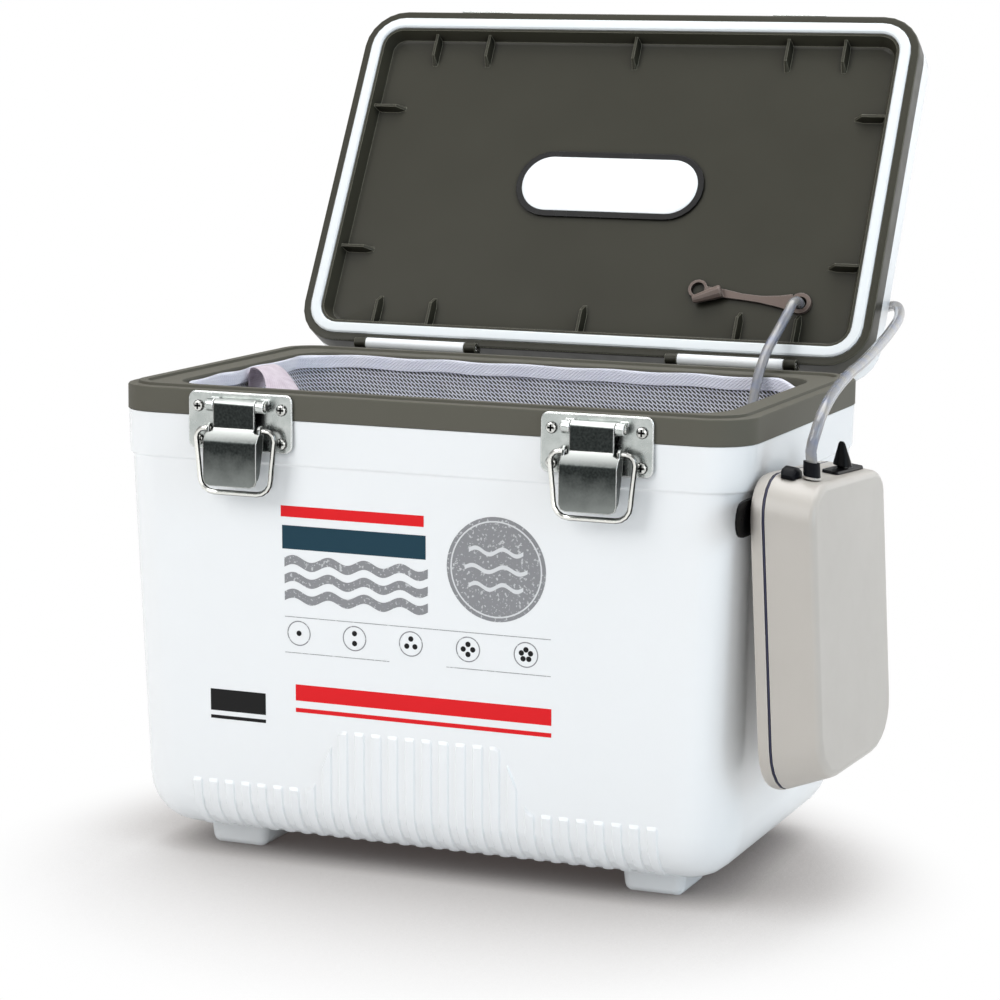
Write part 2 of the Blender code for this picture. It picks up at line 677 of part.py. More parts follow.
def gusset(x, y, direction):
    """One stiffening web that runs in from the pan wall along the pan floor."""
    floor = LID_FACE + PAN_DEPTH
    crest = floor - GUSSET_HEIGHT
    heading = Vector((*direction, 0.0))
    across = Vector((-direction[1], direction[0], 0.0))
    start = GROOVE_INSET + GROOVE_WIDTH + PAN_LIP + 0.0001
    rings = []
    for run, height in ((0.0, 1.0), (PAN_WALL_RUN + GUSSET_CREST, 1.0),
                        (PAN_WALL_RUN + GUSSET_LENGTH, 0.06)):
        place = Vector((x, y, 0.0)) + heading * (start + run)
        top = floor + (crest - floor) * height
        ring = []
        for side, half, z in ((-1, GUSSET_FOOT / 2, floor + 0.0008), (1, GUSSET_FOOT / 2, floor + 0.0008),
                              (1, GUSSET_TOP / 2, top), (-1, GUSSET_TOP / 2, top)):
            ring.append(place + across * side * half + Vector((0, 0, z)))
        rings.append(ring)
    return loft(rings)


def build_lid(assembly, lid):
    """Lid shell, inner cover, insulation, gasket, plate, grommet and keepers, on the hinge axis."""
    face = LID_FACE
    band_top = face + LID_BAND_HEIGHT
    top = face + LID_HEIGHT
    skirt_in = 2 * LID_WALL + FIT
    groove_end = GROOVE_INSET + GROOVE_WIDTH
    lip = groove_end + PAN_LIP
    floor = face + PAN_DEPTH
    over_groove = face + GROOVE_DEPTH + LID_WALL
    profile = [(lip + 0.0022, floor + LINER_WALL), (lip - 0.0002, floor + LINER_WALL - 0.0008),
               (groove_end - 0.0006, over_groove), (skirt_in, over_groove), (skirt_in, band_top + 0.0040),
               (LID_WALL + FIT, band_top + 0.0040), (LID_WALL + FIT, band_top), (0.0, band_top),
               (0.0, face + 0.0010), (0.0003, face + 0.0003), (0.0010, face), (GROOVE_INSET, face),
               (GROOVE_INSET, face + GROOVE_DEPTH), (groove_end, face + GROOVE_DEPTH), (groove_end, face),
               (lip, face), (lip + PAN_WALL_RUN, floor - 0.0020),
               (lip + PAN_WALL_RUN + 0.0006, floor - 0.0006), (lip + PAN_WALL_RUN + 0.0020, floor)]
    liner = loft([lid_ring(inset, z) for inset, z in profile])
    half_x = HALF_WIDTH - LID_SIDE_INSET
    gussets = [gusset(x * sign, side * HALF_DEPTH, (0, -side)) for side in (-1, 1)
               for x in GUSSET_PLACES_X for sign in ((-1, 1) if x else (1,))]
    gussets += [gusset(side * half_x, y * GUSSET_PLACE_Y, (-side, 0)) for side in (-1, 1) for y in (-1, 1)]
    liner = joined(liner, gather(gussets))
    knuckles = []
    ears = []
    for _, x in HINGE_SIDES:
        reach = KNUCKLE_LENGTH / 2 + TOUCH
        free = KNUCKLE_RADIUS + TOUCH
        knuckles.append(turned([(x - reach, free), (x + reach, free)], "X", (0, HINGE_Y, HINGE_Z), steps=20))
        for side in (-1, 1):
            low, high = sorted((x + side * reach, x + side * (reach + EAR_LENGTH)))
            outline = [(HINGE_Y + KNUCKLE_RADIUS * math.cos(math.pi * step / 8),
                        HINGE_Z - KNUCKLE_RADIUS * math.sin(math.pi * step / 8)) for step in range(9)]
            outline += [(HINGE_Y - KNUCKLE_RADIUS, HINGE_Z + 0.0050), (HINGE_Y - 0.0010, HINGE_Z + 0.0062),
                        (HINGE_Y + KNUCKLE_RADIUS, HINGE_Z + 0.0030)]
            ears.append(prism(outline, "X", low, high))
    liner = cut(liner, gather(knuckles))
    liner = joined(liner, gather(ears))
    bore = HINGE_PIN_RADIUS + FIT
    reach = HINGE_PIN_HALF + FIT
    pins = [turned([(x - reach, bore), (x + reach, bore)], "X", (0, HINGE_Y, HINGE_Z), steps=10)
            for _, x in HINGE_SIDES]
    bore_place = (GROMMET_PLACE[0], HALF_DEPTH - GROMMET_PLACE[1], 0)
    hole = GROMMET_BODY_RADIUS + FIT
    through = turned([(floor - 0.01, hole), (floor + 0.01, hole)], "Z", bore_place, steps=16)
    liner = cut(liner, gather(pins), through)
    assembly.add("lid_liner", liner, "taupe_polyethylene", lid)

    edge_in = LID_EDGE_RADIUS - LID_WALL
    arc = [math.pi / 2 * step / 3 for step in range(4)]
    outer = [(0.0, band_top + FIT)]
    outer += [(LID_EDGE_RADIUS * (1 - math.cos(a)), top - LID_EDGE_RADIUS * (1 - math.sin(a))) for a in arc]
    inner = [(LID_WALL, band_top + FIT)]
    inner += [(LID_WALL + edge_in * (1 - math.cos(a)), top - LID_WALL - edge_in * (1 - math.sin(a)))
              for a in arc]
    shell = loft([lid_ring(inset, z) for inset, z in inner[::-1] + outer])
    through = turned([(face, hole), (top + 0.01, hole)], "Z", bore_place, steps=16)
    assembly.add("lid_shell", cut(shell, through), "white_polyethylene", lid)

    fill = [(lip + 0.0022, floor + LINER_WALL + FIT), (lip - 0.0005, floor + LINER_WALL - 0.0004),
            (groove_end - 0.0010, over_groove + FIT), (skirt_in + FIT, over_groove + FIT),
            (skirt_in + FIT, band_top + 0.0043), (LID_WALL + FIT, band_top + 0.0043)]
    within = LID_WALL + FIT
    fill += [(within + edge_in * (1 - math.cos(a)), top - within - edge_in * (1 - math.sin(a))) for a in arc]
    through = turned([(face, hole), (top + 0.01, hole)], "Z", bore_place, steps=16)
    assembly.add("lid_foam", cut(loft([lid_ring(inset, z) for inset, z in fill]), through), "foam", lid)

    seal_out = GROOVE_INSET + FIT
    seal_in = groove_end - FIT
    proud = face - GASKET_PROUD
    section = [(seal_out, face + GROOVE_DEPTH - FIT), (seal_out, proud + 0.0008),
               (seal_out + 0.0007, proud + 0.0001), (seal_out + 0.0018, proud), (seal_in - 0.0018, proud),
               (seal_in - 0.0007, proud + 0.0001), (seal_in, proud + 0.0008),
               (seal_in, face + GROOVE_DEPTH - FIT)]
    gasket = loft([lid_ring(inset, z) for inset, z in section], looped=True)
    assembly.add("lid_gasket", gasket, "gasket_rubber", lid)

    plate_u = PLATE_FACE_SIZE[0] / 2 + PLATE_BORDER
    plate_v = PLATE_FACE_SIZE[1] / 2 + PLATE_BORDER
    low = floor - FIT - INFO_PLATE_THICKNESS
    face_v = PLATE_FACE_SIZE[1] / 2
    assembly.add("lid_plate", loft([
        level(rounded(plate_u, plate_v, plate_v - 0.0002), floor - FIT),
        level(rounded(plate_u, plate_v, plate_v - 0.0002), low),
        level(rounded(plate_u - PLATE_BORDER, face_v, face_v - 0.0002), low),
        level(rounded(plate_u - PLATE_BORDER, face_v, face_v - 0.0002), low + 0.0002)]), "plate_white", lid)

    build_grommet(assembly, lid, bore_place, floor, top)
    for side, x in LATCH_SIDES:
        back = TUB_FACE_Y - FIT
        bar = Vector((BAIL_REACH * math.sin(LOCKED_ANGLE), -BAIL_REACH * math.cos(LOCKED_ANGLE)))
        bar = Vector((BAIL_Y - bar.x, BAIL_Z + bar.y))
        ledge = bar.y - BAIL_RADIUS - FIT
        plate = block((x - KEEPER_WIDTH / 2, back - KEEPER_SHEET, face + 0.0010),
                      (x + KEEPER_WIDTH / 2, back, ledge - KEEPER_DROP))
        inner_face = back - KEEPER_SHEET / 2
        lip_face = bar.x - BAIL_RADIUS - FIT
        sheet = KEEPER_HOOK_SHEET
        outline = [(inner_face, ledge), (lip_face, ledge), (lip_face, ledge + KEEPER_LIP),
                   (lip_face - sheet, ledge + KEEPER_LIP), (lip_face - sheet, ledge - sheet),
                   (inner_face, ledge - sheet - KEEPER_DROP)]
        hook = prism(outline, "X", x - KEEPER_HOOK_WIDTH / 2, x + KEEPER_HOOK_WIDTH / 2)
        assembly.add("keeper_" + side, joined(plate, hook), "stainless_sheet", lid)


def build_grommet(assembly, lid, place, floor, top):
    """Rubber bushing through the lid, moulded with its strap, pull loop and stopper."""
    low = floor - FIT
    high = top + FIT
    profile = [(low - GROMMET_FLANGE, GROMMET_FLANGE_RADIUS - 0.0003), (low, GROMMET_FLANGE_RADIUS),
               (low, GROMMET_BODY_RADIUS), (high, GROMMET_BODY_RADIUS), (high, GROMMET_FLANGE_RADIUS),
               (high + GROMMET_FLANGE, GROMMET_FLANGE_RADIUS - 0.0004), (high + GROMMET_FLANGE, GROMMET_BORE),
               (low - GROMMET_FLANGE, GROMMET_BORE)]
    bushing = turned(profile, "Z", place, looped=True, steps=16)
    middle = low - GROMMET_FLANGE / 2 - 0.0001
    line = [(-0.0046, -0.0001, 0.0044), (-0.0110, -0.0004, 0.0030), (-0.0200, -0.0010, 0.0018),
            (-0.0300, -0.0020, 0.0016), (-0.0400, -0.0034, 0.0022), (-0.0495, -0.0048, 0.0020)]
    path = [(Vector((place[0] + x, place[1] + y, middle)), (0, 1, 0)) for x, y, _ in line]
    strap = swept(path, [(half, PLUG_STRAP_THICKNESS / 2) for _, _, half in line])
    centre = (place[0] - 0.0537, place[1] - 0.0052, 0)
    loop = turned([(middle - 0.0008, 0.0050), (middle + 0.0008, 0.0050), (middle + 0.0008, 0.0036),
                   (middle - 0.0008, 0.0036)], "Z", centre, looped=True, steps=14)
    tip = Vector((place[0] - 0.0544, place[1] + 0.0020, middle - 0.0030))
    root = Vector((place[0] - 0.0405, place[1] - 0.0036, middle - 0.0026))
    rings = []
    for share, radius in ((0.0, 0.0018), (0.1, 0.0022), (0.65, 0.0031), (0.95, 0.0034), (1.0, 0.0028)):
        spot = tip.lerp(root, share)
        along = (root - tip).normalized()
        side = along.cross(Vector((0, 0, 1))).normalized()
        upright = side.cross(along)
        rings.append([spot + side * u + upright * v for u, v in circle(radius, 10)])
    assembly.add("hose_grommet", joined(bushing, strap, loop, loft(rings)), "brown_rubber", lid)


def build_hinges(assembly):
    """Blocks with their knuckles on the back of the tub, and the pins through the lid's ears."""
    for side, x in HINGE_SIDES:
        half = KNUCKLE_LENGTH / 2
        axis = (0, HINGE_Y, HINGE_Z)
        knuckle = turned([(x - half, KNUCKLE_RADIUS), (x + half, KNUCKLE_RADIUS)], "X", axis, steps=20)
        web = block((x - half, HALF_DEPTH + FIT, HINGE_Z - HINGE_BLOCK_DROP),
                    (x + half, HINGE_BLOCK_BACK - 0.0001, HINGE_Z))
        body = joined(knuckle, web)
        hole = HINGE_PIN_RADIUS + FIT
        bore = turned([(x - half - 0.001, hole), (x + half + 0.001, hole)], "X", axis, steps=10)
        holes = [screw_bore(x + place * HINGE_SCREW_PLACE, HALF_DEPTH - 0.001, HINGE_BLOCK_BACK + 0.001,
                            HINGE_SCREW_Z) for place in (-1, 1)]
        assembly.add("hinge_block_" + side, cut(body, bore, gather(holes)), "white_polyethylene")
        pin = turned([(x - HINGE_PIN_HALF, HINGE_PIN_RADIUS), (x + HINGE_PIN_HALF, HINGE_PIN_RADIUS)], "X",
                     axis, steps=10)
        assembly.add("hinge_pin_" + side, pin, "stainless_wire")
    for index, (x, z) in enumerate(HINGE_SCREW_SPOTS, 1):
        assembly.add("hinge_screw_%d" % index, screw(x, HINGE_BLOCK_BACK, z, HINGE_SCREW_LENGTH, 1),
                     "stainless_wire")


def build_latch(assembly, side, x):
    """One draw latch: plate, pin, lever and bail."""
    back = TUB_FACE_Y - FIT
    half_x = PLATE_SIZE[0] / 2
    half_z = PLATE_SIZE[1] / 2
    middle = (x, PLATE_MIDDLE)
    plate = loft([facing_y(rounded(half_x - less, half_z - less, PLATE_RADIUS - less, 4, middle), y)
                  for less, y in ((0.0, back), (0.0, PLATE_FRONT_Y + 0.0003), (0.0003, PLATE_FRONT_Y))])
    axis = (0, LATCH_AXIS_Y, LATCH_AXIS_Z)
    ears = []
    near = ROLL_HALF_LENGTH + TOUCH
    for sign in (-1, 1):
        low, high = sorted((x + sign * near, x + sign * (near + PLATE_EAR_LENGTH)))
        roll = turned([(low, ROLL_RADIUS), (high, ROLL_RADIUS)], "X", axis, steps=16)
        web = block((low, LATCH_AXIS_Y, LATCH_AXIS_Z + 0.0012),
                    (high, PLATE_FRONT_Y + 0.0006, LATCH_AXIS_Z + 0.0028))
        ears.append(joined(roll, web))
    plate = joined(plate, gather(ears))
    hole = LATCH_PIN_RADIUS + FIT
    pin_bore = turned([(x - 0.02, hole), (x + 0.02, hole)], "X", axis, steps=12)
    spots = [(spot_x, z) for spot_x, z in LATCH_SCREW_SPOTS if abs(spot_x - x) < half_x]
    holes = [screw_bore(spot_x, PLATE_FRONT_Y - 0.001, back + 0.001, z) for spot_x, z in spots]
    assembly.add("latch_plate_" + side, cut(plate, pin_bore, gather(holes)), "stainless_sheet")
    reach = near + PLATE_EAR_LENGTH
    head = LATCH_PIN_RADIUS + 0.0008
    assembly.add("latch_pin_" + side, turned([
        (x - reach - FIT - 0.0006, head * 0.8), (x - reach - FIT, head), (x - reach - FIT, LATCH_PIN_RADIUS),
        (x + reach + FIT, LATCH_PIN_RADIUS), (x + reach + FIT, head), (x + reach + FIT + 0.0006, head * 0.8)],
        "X", axis), "stainless_wire")
    lever = build_lever(assembly, side, x)
    build_bail(assembly, side, x, lever)


def build_lever(assembly, side, x):
    """Bent sheet lever with a rolled top, a bevel and two flanges that carry the bail."""
    tongue = -ROLL_RADIUS + 0.00005
    slope = LEVER_BULGE / LEVER_BEVEL_RUN
    shoulder = 0.0012
    widen = 0.0012
    thick = LEVER_SHEET * math.sqrt(1 + slope * slope)
    low = -(LEVER_BEVEL_TOP + LEVER_BEVEL_RUN)
    narrow = ROLL_HALF_LENGTH
    wide = LEVER_HALF_WIDTH
    stations = [(0.0, tongue, LEVER_SHEET, narrow), (-LEVER_BEVEL_TOP, tongue, LEVER_SHEET * 1.1, narrow)]
    for drop, half in ((shoulder, narrow), (shoulder + widen, wide), (LEVER_BEVEL_RUN - 0.0008, wide)):
        stations.append((-LEVER_BEVEL_TOP - drop, tongue - slope * drop, thick, half))
    panel = tongue - LEVER_BULGE
    stations += [(low - 0.0004, panel, LEVER_SHEET * 1.1, wide),
                 (-LEVER_LENGTH + 0.0030, panel, LEVER_SHEET, wide),
                 (-LEVER_LENGTH + 0.0009, panel, LEVER_SHEET, wide - 0.0009),
                 (-LEVER_LENGTH, panel, LEVER_SHEET, wide - 0.0030)]
    axis = (0, LATCH_AXIS_Y, LATCH_AXIS_Z)
    rings = []
    for z, front, sheet, half in stations:
        y = LATCH_AXIS_Y + front
        rings.append([Vector((x + u * half, y + v * sheet, LATCH_AXIS_Z + z))
                      for u, v in ((-1, 0), (1, 0), (1, 1), (-1, 1))])
    sheet = loft(rings)
    inner = LATCH_PIN_RADIUS + FIT
    roll = turned([(x - narrow, ROLL_RADIUS), (x + narrow, ROLL_RADIUS), (x + narrow, inner),
                   (x - narrow, inner)], "X", axis, looped=True, steps=16)
    flanges = []
    pivot_y = -BAIL_PIVOT_PROUD
    pivot_z = -BAIL_PIVOT_DROP
    boss = 0.0024
    for sign in (-1, 1):
        outline = [(panel + LEVER_SHEET / 2, -LEVER_LENGTH + 0.0034), (panel + LEVER_SHEET / 2, low + 0.0002),
                   (tongue - slope * (shoulder + widen + 0.0004) + thick / 2,
                    -LEVER_BEVEL_TOP - shoulder - widen - 0.0004)]
        outline += [(pivot_y + boss * math.cos(a), pivot_z + boss * math.sin(a))
                    for a in [math.radians(angle) for angle in (190, 155, 120, 85, 50, 15, -20)]]
        outline += [(pivot_y + 0.0012, pivot_z - 0.0080), (panel + 0.0040, -LEVER_LENGTH + 0.0060),
                    (panel + 0.0022, -LEVER_LENGTH + 0.0034)]
        points = [(LATCH_AXIS_Y + y, LATCH_AXIS_Z + z) for y, z in outline]
        near, far = sorted((x + sign * (wide - LEVER_SHEET), x + sign * wide))
        flanges.append(prism(points, "X", near, far))
    lever = joined(sheet, roll, gather(flanges))
    hole = BAIL_RADIUS + FIT
    eyes = [turned([(x + sign * (wide - 0.0018), hole), (x + sign * (wide + 0.001), hole)], "X",
                   (0, BAIL_Y, BAIL_Z), steps=12) for sign in (-1, 1)]
    return assembly.add("latch_lever_" + side, cut(lever, gather(eyes)), "stainless_sheet", None,
                        (x, LATCH_AXIS_Y, LATCH_AXIS_Z))


def build_bail(assembly, side, x, lever):
    """Wire bail hung in the lever's flanges."""
    half = [(LEVER_HALF_WIDTH - 0.0017, 0.0)]
    bend = 0.0044
    half.append((BAIL_HALF_WIDTH - bend, 0.0))
    half += [(BAIL_HALF_WIDTH - bend + bend * math.sin(a), -bend + bend * math.cos(a))
             for a in [math.radians(angle) for angle in (30, 60, 90)]]
    end = BAIL_BAR_HALF_WIDTH - BAIL_CORNER
    half.append((BAIL_BAR_HALF_WIDTH + 0.0004, -BAIL_REACH + BAIL_CORNER + 0.0050))
    half += [(end + BAIL_CORNER * math.cos(a), -BAIL_REACH + BAIL_CORNER - BAIL_CORNER * math.sin(a))
             for a in [math.radians(angle) for angle in (0, 22.5, 45, 67.5, 90)]]
    line = half + [(-u, v) for u, v in half[::-1]]
    points = [(x + u, BAIL_Y, BAIL_Z + v) for u, v in line]
    assembly.add("latch_bail_" + side, wire(points, BAIL_RADIUS), "stainless_wire", lever,
                 (x, BAIL_Y, BAIL_Z))


def build_net(assembly):
    """Hung net with its hem and lifting strap."""
    top = RIM_HEIGHT - NET_TOP_BELOW_RIM
    seam = top - HEM_HEIGHT
    outer = cavity_rings(-NET_GAP, seam - FIT)
    inner = cavity_rings(-NET_GAP - NET_WALL, seam - FIT)
    assembly.add("net_bag", loft(outer[::-1] + inner), "net_mesh")
    hem = [cavity_ring(-NET_GAP, seam), cavity_ring(-NET_GAP, top), cavity_ring(-NET_GAP - HEM_WALL, top),
           cavity_ring(-NET_GAP - HEM_WALL, seam)]
    assembly.add("net_hem", loft(hem, looped=True), "net_webbing")
    reach = NET_GAP + HEM_WALL + cavity_inset(seam) + STRAP_THICKNESS / 2 + TOUCH
    corner = Vector((reach - HALF_WIDTH, reach - HALF_DEPTH, RIM_HEIGHT))
    path = [(corner + Vector(offset), (math.cos(math.radians(turn)), math.sin(math.radians(turn)), 0))
            for offset, turn in STRAP_LINE]
    strap = swept(path, [(STRAP_WIDTH / 2, STRAP_THICKNESS / 2)] * len(path))
    assembly.add("net_strap", strap, "net_webbing")


def pump_outline(inset, narrowed):
    """Face outline of the pump, set in from its edge and narrowed at its front and rear."""
    height = PUMP_ABOVE_HANGER + PUMP_BELOW_HANGER
    radii = tuple(radius - inset for radius in (PUMP_REAR_TOP_RADIUS, PUMP_FRONT_TOP_RADIUS,
                                                PUMP_FRONT_BOTTOM_RADIUS, PUMP_REAR_BOTTOM_RADIUS))
    centre = (PUMP_WIDTH / 2, PUMP_ABOVE_HANGER - height / 2)
    return rounded(PUMP_WIDTH / 2 - inset - narrowed, height / 2 - inset, radii, CORNER_STEPS, centre)


def pump_share(x):
    """How far a place lies from the pump's seam to its broad face, from 0 to 1."""
    return max(0.0, (x - PUMP_SEAM) / (PUMP_THICKNESS - PUMP_SEAM))


def pump_rings(stations):
    """Rings of the pump outline from (place across the thickness, inset) pairs."""
    return [facing_x(pump_outline(inset, PUMP_SIDE_DRAFT * pump_share(x)), x) for x, inset in stations]


def pump_form(x, w, z):
    """Height of a point once the pump's drafted top and bottom and its lower rear have formed it."""
    height = PUMP_ABOVE_HANGER + PUMP_BELOW_HANGER
    share = (z + PUMP_BELOW_HANGER) / height
    across = pump_share(x)
    drafted = z + across * (PUMP_BOTTOM_RISE * (1 - share) - PUMP_TOP_FALL * share)
    middle = PUMP_ABOVE_HANGER - height / 2
    return middle + (drafted - middle) * (1 - PUMP_REAR_TAPER * w / PUMP_WIDTH)


def build_pump(assembly):
    """Battery air pump on its hanger, in a frame turned and leant against the tub."""
    origin = Vector((HALF_WIDTH - body_inset(HANGER_Z) + PUMP_GAP, PUMP_FRONT_Y, HANGER_Z))
    frame = assembly.frame("pump_frame", origin, None, (0.0, PUMP_LEAN, PUMP_TURN))

    def local(mesh, formed=True):
        for vert in mesh.verts:
            if formed:
                vert.co.z = pump_form(*vert.co)
            vert.co += origin
        return mesh

    seam = PUMP_SEAM
    bend = PUMP_BACK_RADIUS
    back = [(PUMP_WALL, bend + PUMP_WALL * 0.6), (bend + 0.0004, PUMP_WALL), (seam, PUMP_WALL), (seam, 0.0),
            (bend, 0.0), (bend * 0.3, bend * 0.3), (0.0, bend)]
    assembly.add("pump_back_shell", local(loft(pump_rings(back))), "pump_plastic", frame)
    seal = [(seam + FIT, PUMP_WALL), (seam + FIT, 0.0002), (seam + FIT + PUMP_SEAL, 0.0002),
            (seam + FIT + PUMP_SEAL, PUMP_WALL)]
    assembly.add("pump_seal", local(loft(pump_rings(seal), looped=True)), "pump_seal_rubber", frame)
    start = seam + 2 * FIT + PUMP_SEAL
    bend = PUMP_FACE_RADIUS
    flat = PUMP_THICKNESS - bend
    front = [(PUMP_THICKNESS - PUMP_WALL, PUMP_WALL + bend / 2), (flat, PUMP_WALL), (start, PUMP_WALL),
             (start, 0.0)]
    front += [(flat + bend * math.sin(a), bend * (1 - math.cos(a)))
              for a in [math.pi / 2 * step / 4 for step in range(5)]]
    shell = loft(pump_rings(front))
    nipple_x, nipple_w = NIPPLE_PLACE
    top = PUMP_ABOVE_HANGER
    hole = NIPPLE_RADIUS + FIT
    shell = cut(shell, turned([(top - 0.004, hole), (top + 0.004, hole)], "Z", (nipple_x, nipple_w, 0)))
    assembly.add("pump_front_shell", local(shell), "pump_plastic", frame)

    stem = turned([(top - 0.0060, NIPPLE_RADIUS), (top + FIT, NIPPLE_RADIUS),
                   (top + FIT, NIPPLE_FLANGE_RADIUS),
                   (top + FIT + 0.0010, NIPPLE_FLANGE_RADIUS - 0.0003), (top + FIT + 0.0010, NIPPLE_RADIUS),
                   (top + NIPPLE_HEIGHT, NIPPLE_RADIUS * 0.9)], "Z", (nipple_x, nipple_w, 0))
    assembly.add("pump_nipple", local(stem), "pump_plastic", frame)
    sleeve_low = top + FIT + 0.0010 + FIT
    sleeve_in = HOSE_RADIUS + TOUCH
    sleeve = [(sleeve_low, SLEEVE_RADIUS), (sleeve_low + SLEEVE_HEIGHT, SLEEVE_RADIUS - 0.0002),
              (sleeve_low + SLEEVE_HEIGHT, sleeve_in), (sleeve_low, sleeve_in)]
    assembly.add("hose_sleeve", local(turned(sleeve, "Z", (nipple_x, nipple_w, 0), looped=True, steps=14)),
                 "black_rubber", frame)

    centre_w = PUMP_FRONT_TOP_RADIUS
    centre_z = top - PUMP_FRONT_TOP_RADIUS
    rings = []
    for step in range(7):
        share = step / 6
        angle = PLUG_ANGLES[0] + (PLUG_ANGLES[1] - PLUG_ANGLES[0]) * share
        proud = PLUG_PROUD * math.sin(math.pi * (0.08 + 0.84 * share)) ** 0.6
        near = PUMP_FRONT_TOP_RADIUS + FIT
        half = PLUG_HALF_WIDTH * math.sin(math.pi * (0.16 + 0.68 * share)) ** 0.5
        ring = []
        for u, r in ((-1.0, near), (1.0, near), (0.92, near + proud * 0.7), (0.6, near + proud),
                     (-0.6, near + proud), (-0.92, near + proud * 0.7)):
            ring.append(Vector((PLUG_PLACE_X + u * half, centre_w + r * math.cos(angle),
                                centre_z + r * math.sin(max(angle, math.pi / 2)))))
        rings.append(ring)
    assembly.add("jack_plug", local(loft(rings)), "black_rubber", frame)

    switch_x, switch_w = SWITCH_PLACE
    size_x, size_w, thick = SWITCH_BEZEL
    base = loft([level(rounded(size_x / 2, size_w / 2, 0.0020, 3, (switch_x, switch_w)), top + FIT),
                 level(rounded(size_x / 2 - 0.0003, size_w / 2 - 0.0003, 0.0017, 3, (switch_x, switch_w)),
                       top + FIT + thick)])
    stem_x, stem_w = SWITCH_STEM
    slot_x = stem_x + TOUCH
    slot_w = stem_w + 2 * TOUCH
    pocket = block((switch_x - slot_x, switch_w - slot_w, top - 0.001),
                   (switch_x + slot_x, switch_w + slot_w, top + 0.006))
    assembly.add("switch_bezel", local(cut(base, pocket)), "black_plastic", frame)
    above = top + FIT + thick
    rings = [level(rounded(stem_x, stem_w, 0.0006, 3, SWITCH_PLACE), above + rise)
             for rise in (-0.0008, SWITCH_LIFT)]
    for share, wide in ((0.08, 1.0), (0.14, 1.0), (0.5, 0.70), (0.92, 0.36), (1.0, 0.22)):
        radius = SWITCH_RADIUS * wide
        rings.append(level(rounded(radius, radius, radius * 0.96, 3, SWITCH_PLACE),
                           above + share * SWITCH_LEVER_HEIGHT))
    pivot = Vector((switch_x, switch_w, pump_form(switch_x, switch_w, above)))
    assembly.add("switch_lever", local(loft(rings)), "black_plastic", frame, pivot + origin)

    build_pump_inside(assembly, frame, local, top)
    build_hanger(assembly, origin)
    return frame


def build_pump_inside(assembly, frame, local, top):
    """Motor, diaphragm head, cells and their contact strip."""
    rest = PUMP_WALL + TOUCH
    size_x, size_w, size_z = PUMP_HEAD_SIZE
    head_foot = -PUMP_HEAD_DROP
    head = loft([level(rounded(size_x / 2 - inset, size_w / 2 - inset, 0.003, 3,
                               (rest + size_x / 2, PUMP_HEAD_PLACE)), head_foot + rise * size_z)
                 for inset, rise in ((0.0010, 0.0), (0.0, 0.03), (0.0, 0.62), (0.0030, 0.84), (0.0060, 1.0))])
    assembly.add("pump_head", local(head, formed=False), "black_plastic", frame)
    near = PUMP_HEAD_PLACE + size_w / 2 + TOUCH
    motor = turned([(near, MOTOR_SHAFT_RADIUS), (near + MOTOR_SHAFT, MOTOR_SHAFT_RADIUS),
                    (near + MOTOR_SHAFT, MOTOR_RADIUS), (near + MOTOR_SHAFT + MOTOR_LENGTH, MOTOR_RADIUS),
                    (near + MOTOR_SHAFT + MOTOR_LENGTH, MOTOR_SHAFT_RADIUS)], "Y",
                   (rest + MOTOR_RADIUS, 0, -MOTOR_DROP), steps=16)
    assembly.add("pump_motor", local(motor, formed=False), "motor_steel", frame)
    cell_x = rest + CELL_RADIUS
    bottom = CELL_ABOVE_BOTTOM - PUMP_BELOW_HANGER
    for index, w in enumerate((CELL_PLACE - CELL_PITCH / 2, CELL_PLACE + CELL_PITCH / 2), 1):
        cell = turned([(bottom, CELL_RADIUS - 0.0006), (bottom + 0.0008, CELL_RADIUS),
                       (bottom + CELL_LENGTH - CELL_TIP - 0.0008, CELL_RADIUS),
                       (bottom + CELL_LENGTH - CELL_TIP, CELL_RADIUS - 0.0012),
                       (bottom + CELL_LENGTH - CELL_TIP, CELL_TIP_RADIUS),
                       (bottom + CELL_LENGTH, CELL_TIP_RADIUS)], "Z", (cell_x, w, 0), steps=16)
        assembly.add("cell_%d" % index, local(cell, formed=False), "cell_jacket", frame)
    strip = block((cell_x - CONTACT_WIDTH / 2, CELL_PLACE - CELL_PITCH, bottom - FIT - CONTACT_THICKNESS),
                  (cell_x + CONTACT_WIDTH / 2, CELL_PLACE + CELL_PITCH, bottom - FIT))
    assembly.add("cell_contacts", local(strip, formed=False), "contact_metal", frame)


def build_hanger(assembly, origin):
    """Black bracket between the tub wall and the pump's back, with a rounded end in front of the pump."""
    half = HANGER_HEIGHT / 2
    front = PUMP_FRONT_Y - HANGER_OVERHANG
    outline = [(front + half - half * math.sin(a), HANGER_Z + half * math.cos(a))
               for a in [math.pi * step / 8 for step in range(9)]]
    outline += [(front + HANGER_LENGTH, HANGER_Z - half), (front + HANGER_LENGTH, HANGER_Z + half)]
    wall_x = HALF_WIDTH - body_inset(HANGER_Z + half) + FIT
    turn = math.tan(-PUMP_TURN)
    lean = math.tan(-PUMP_LEAN) * half
    outer = [Vector((origin.x + (y - origin.y) * turn - lean - FIT, y, z)) for y, z in outline]
    assembly.add("pump_hanger", loft([facing_x(outline, wall_x), outer]), "black_plastic")


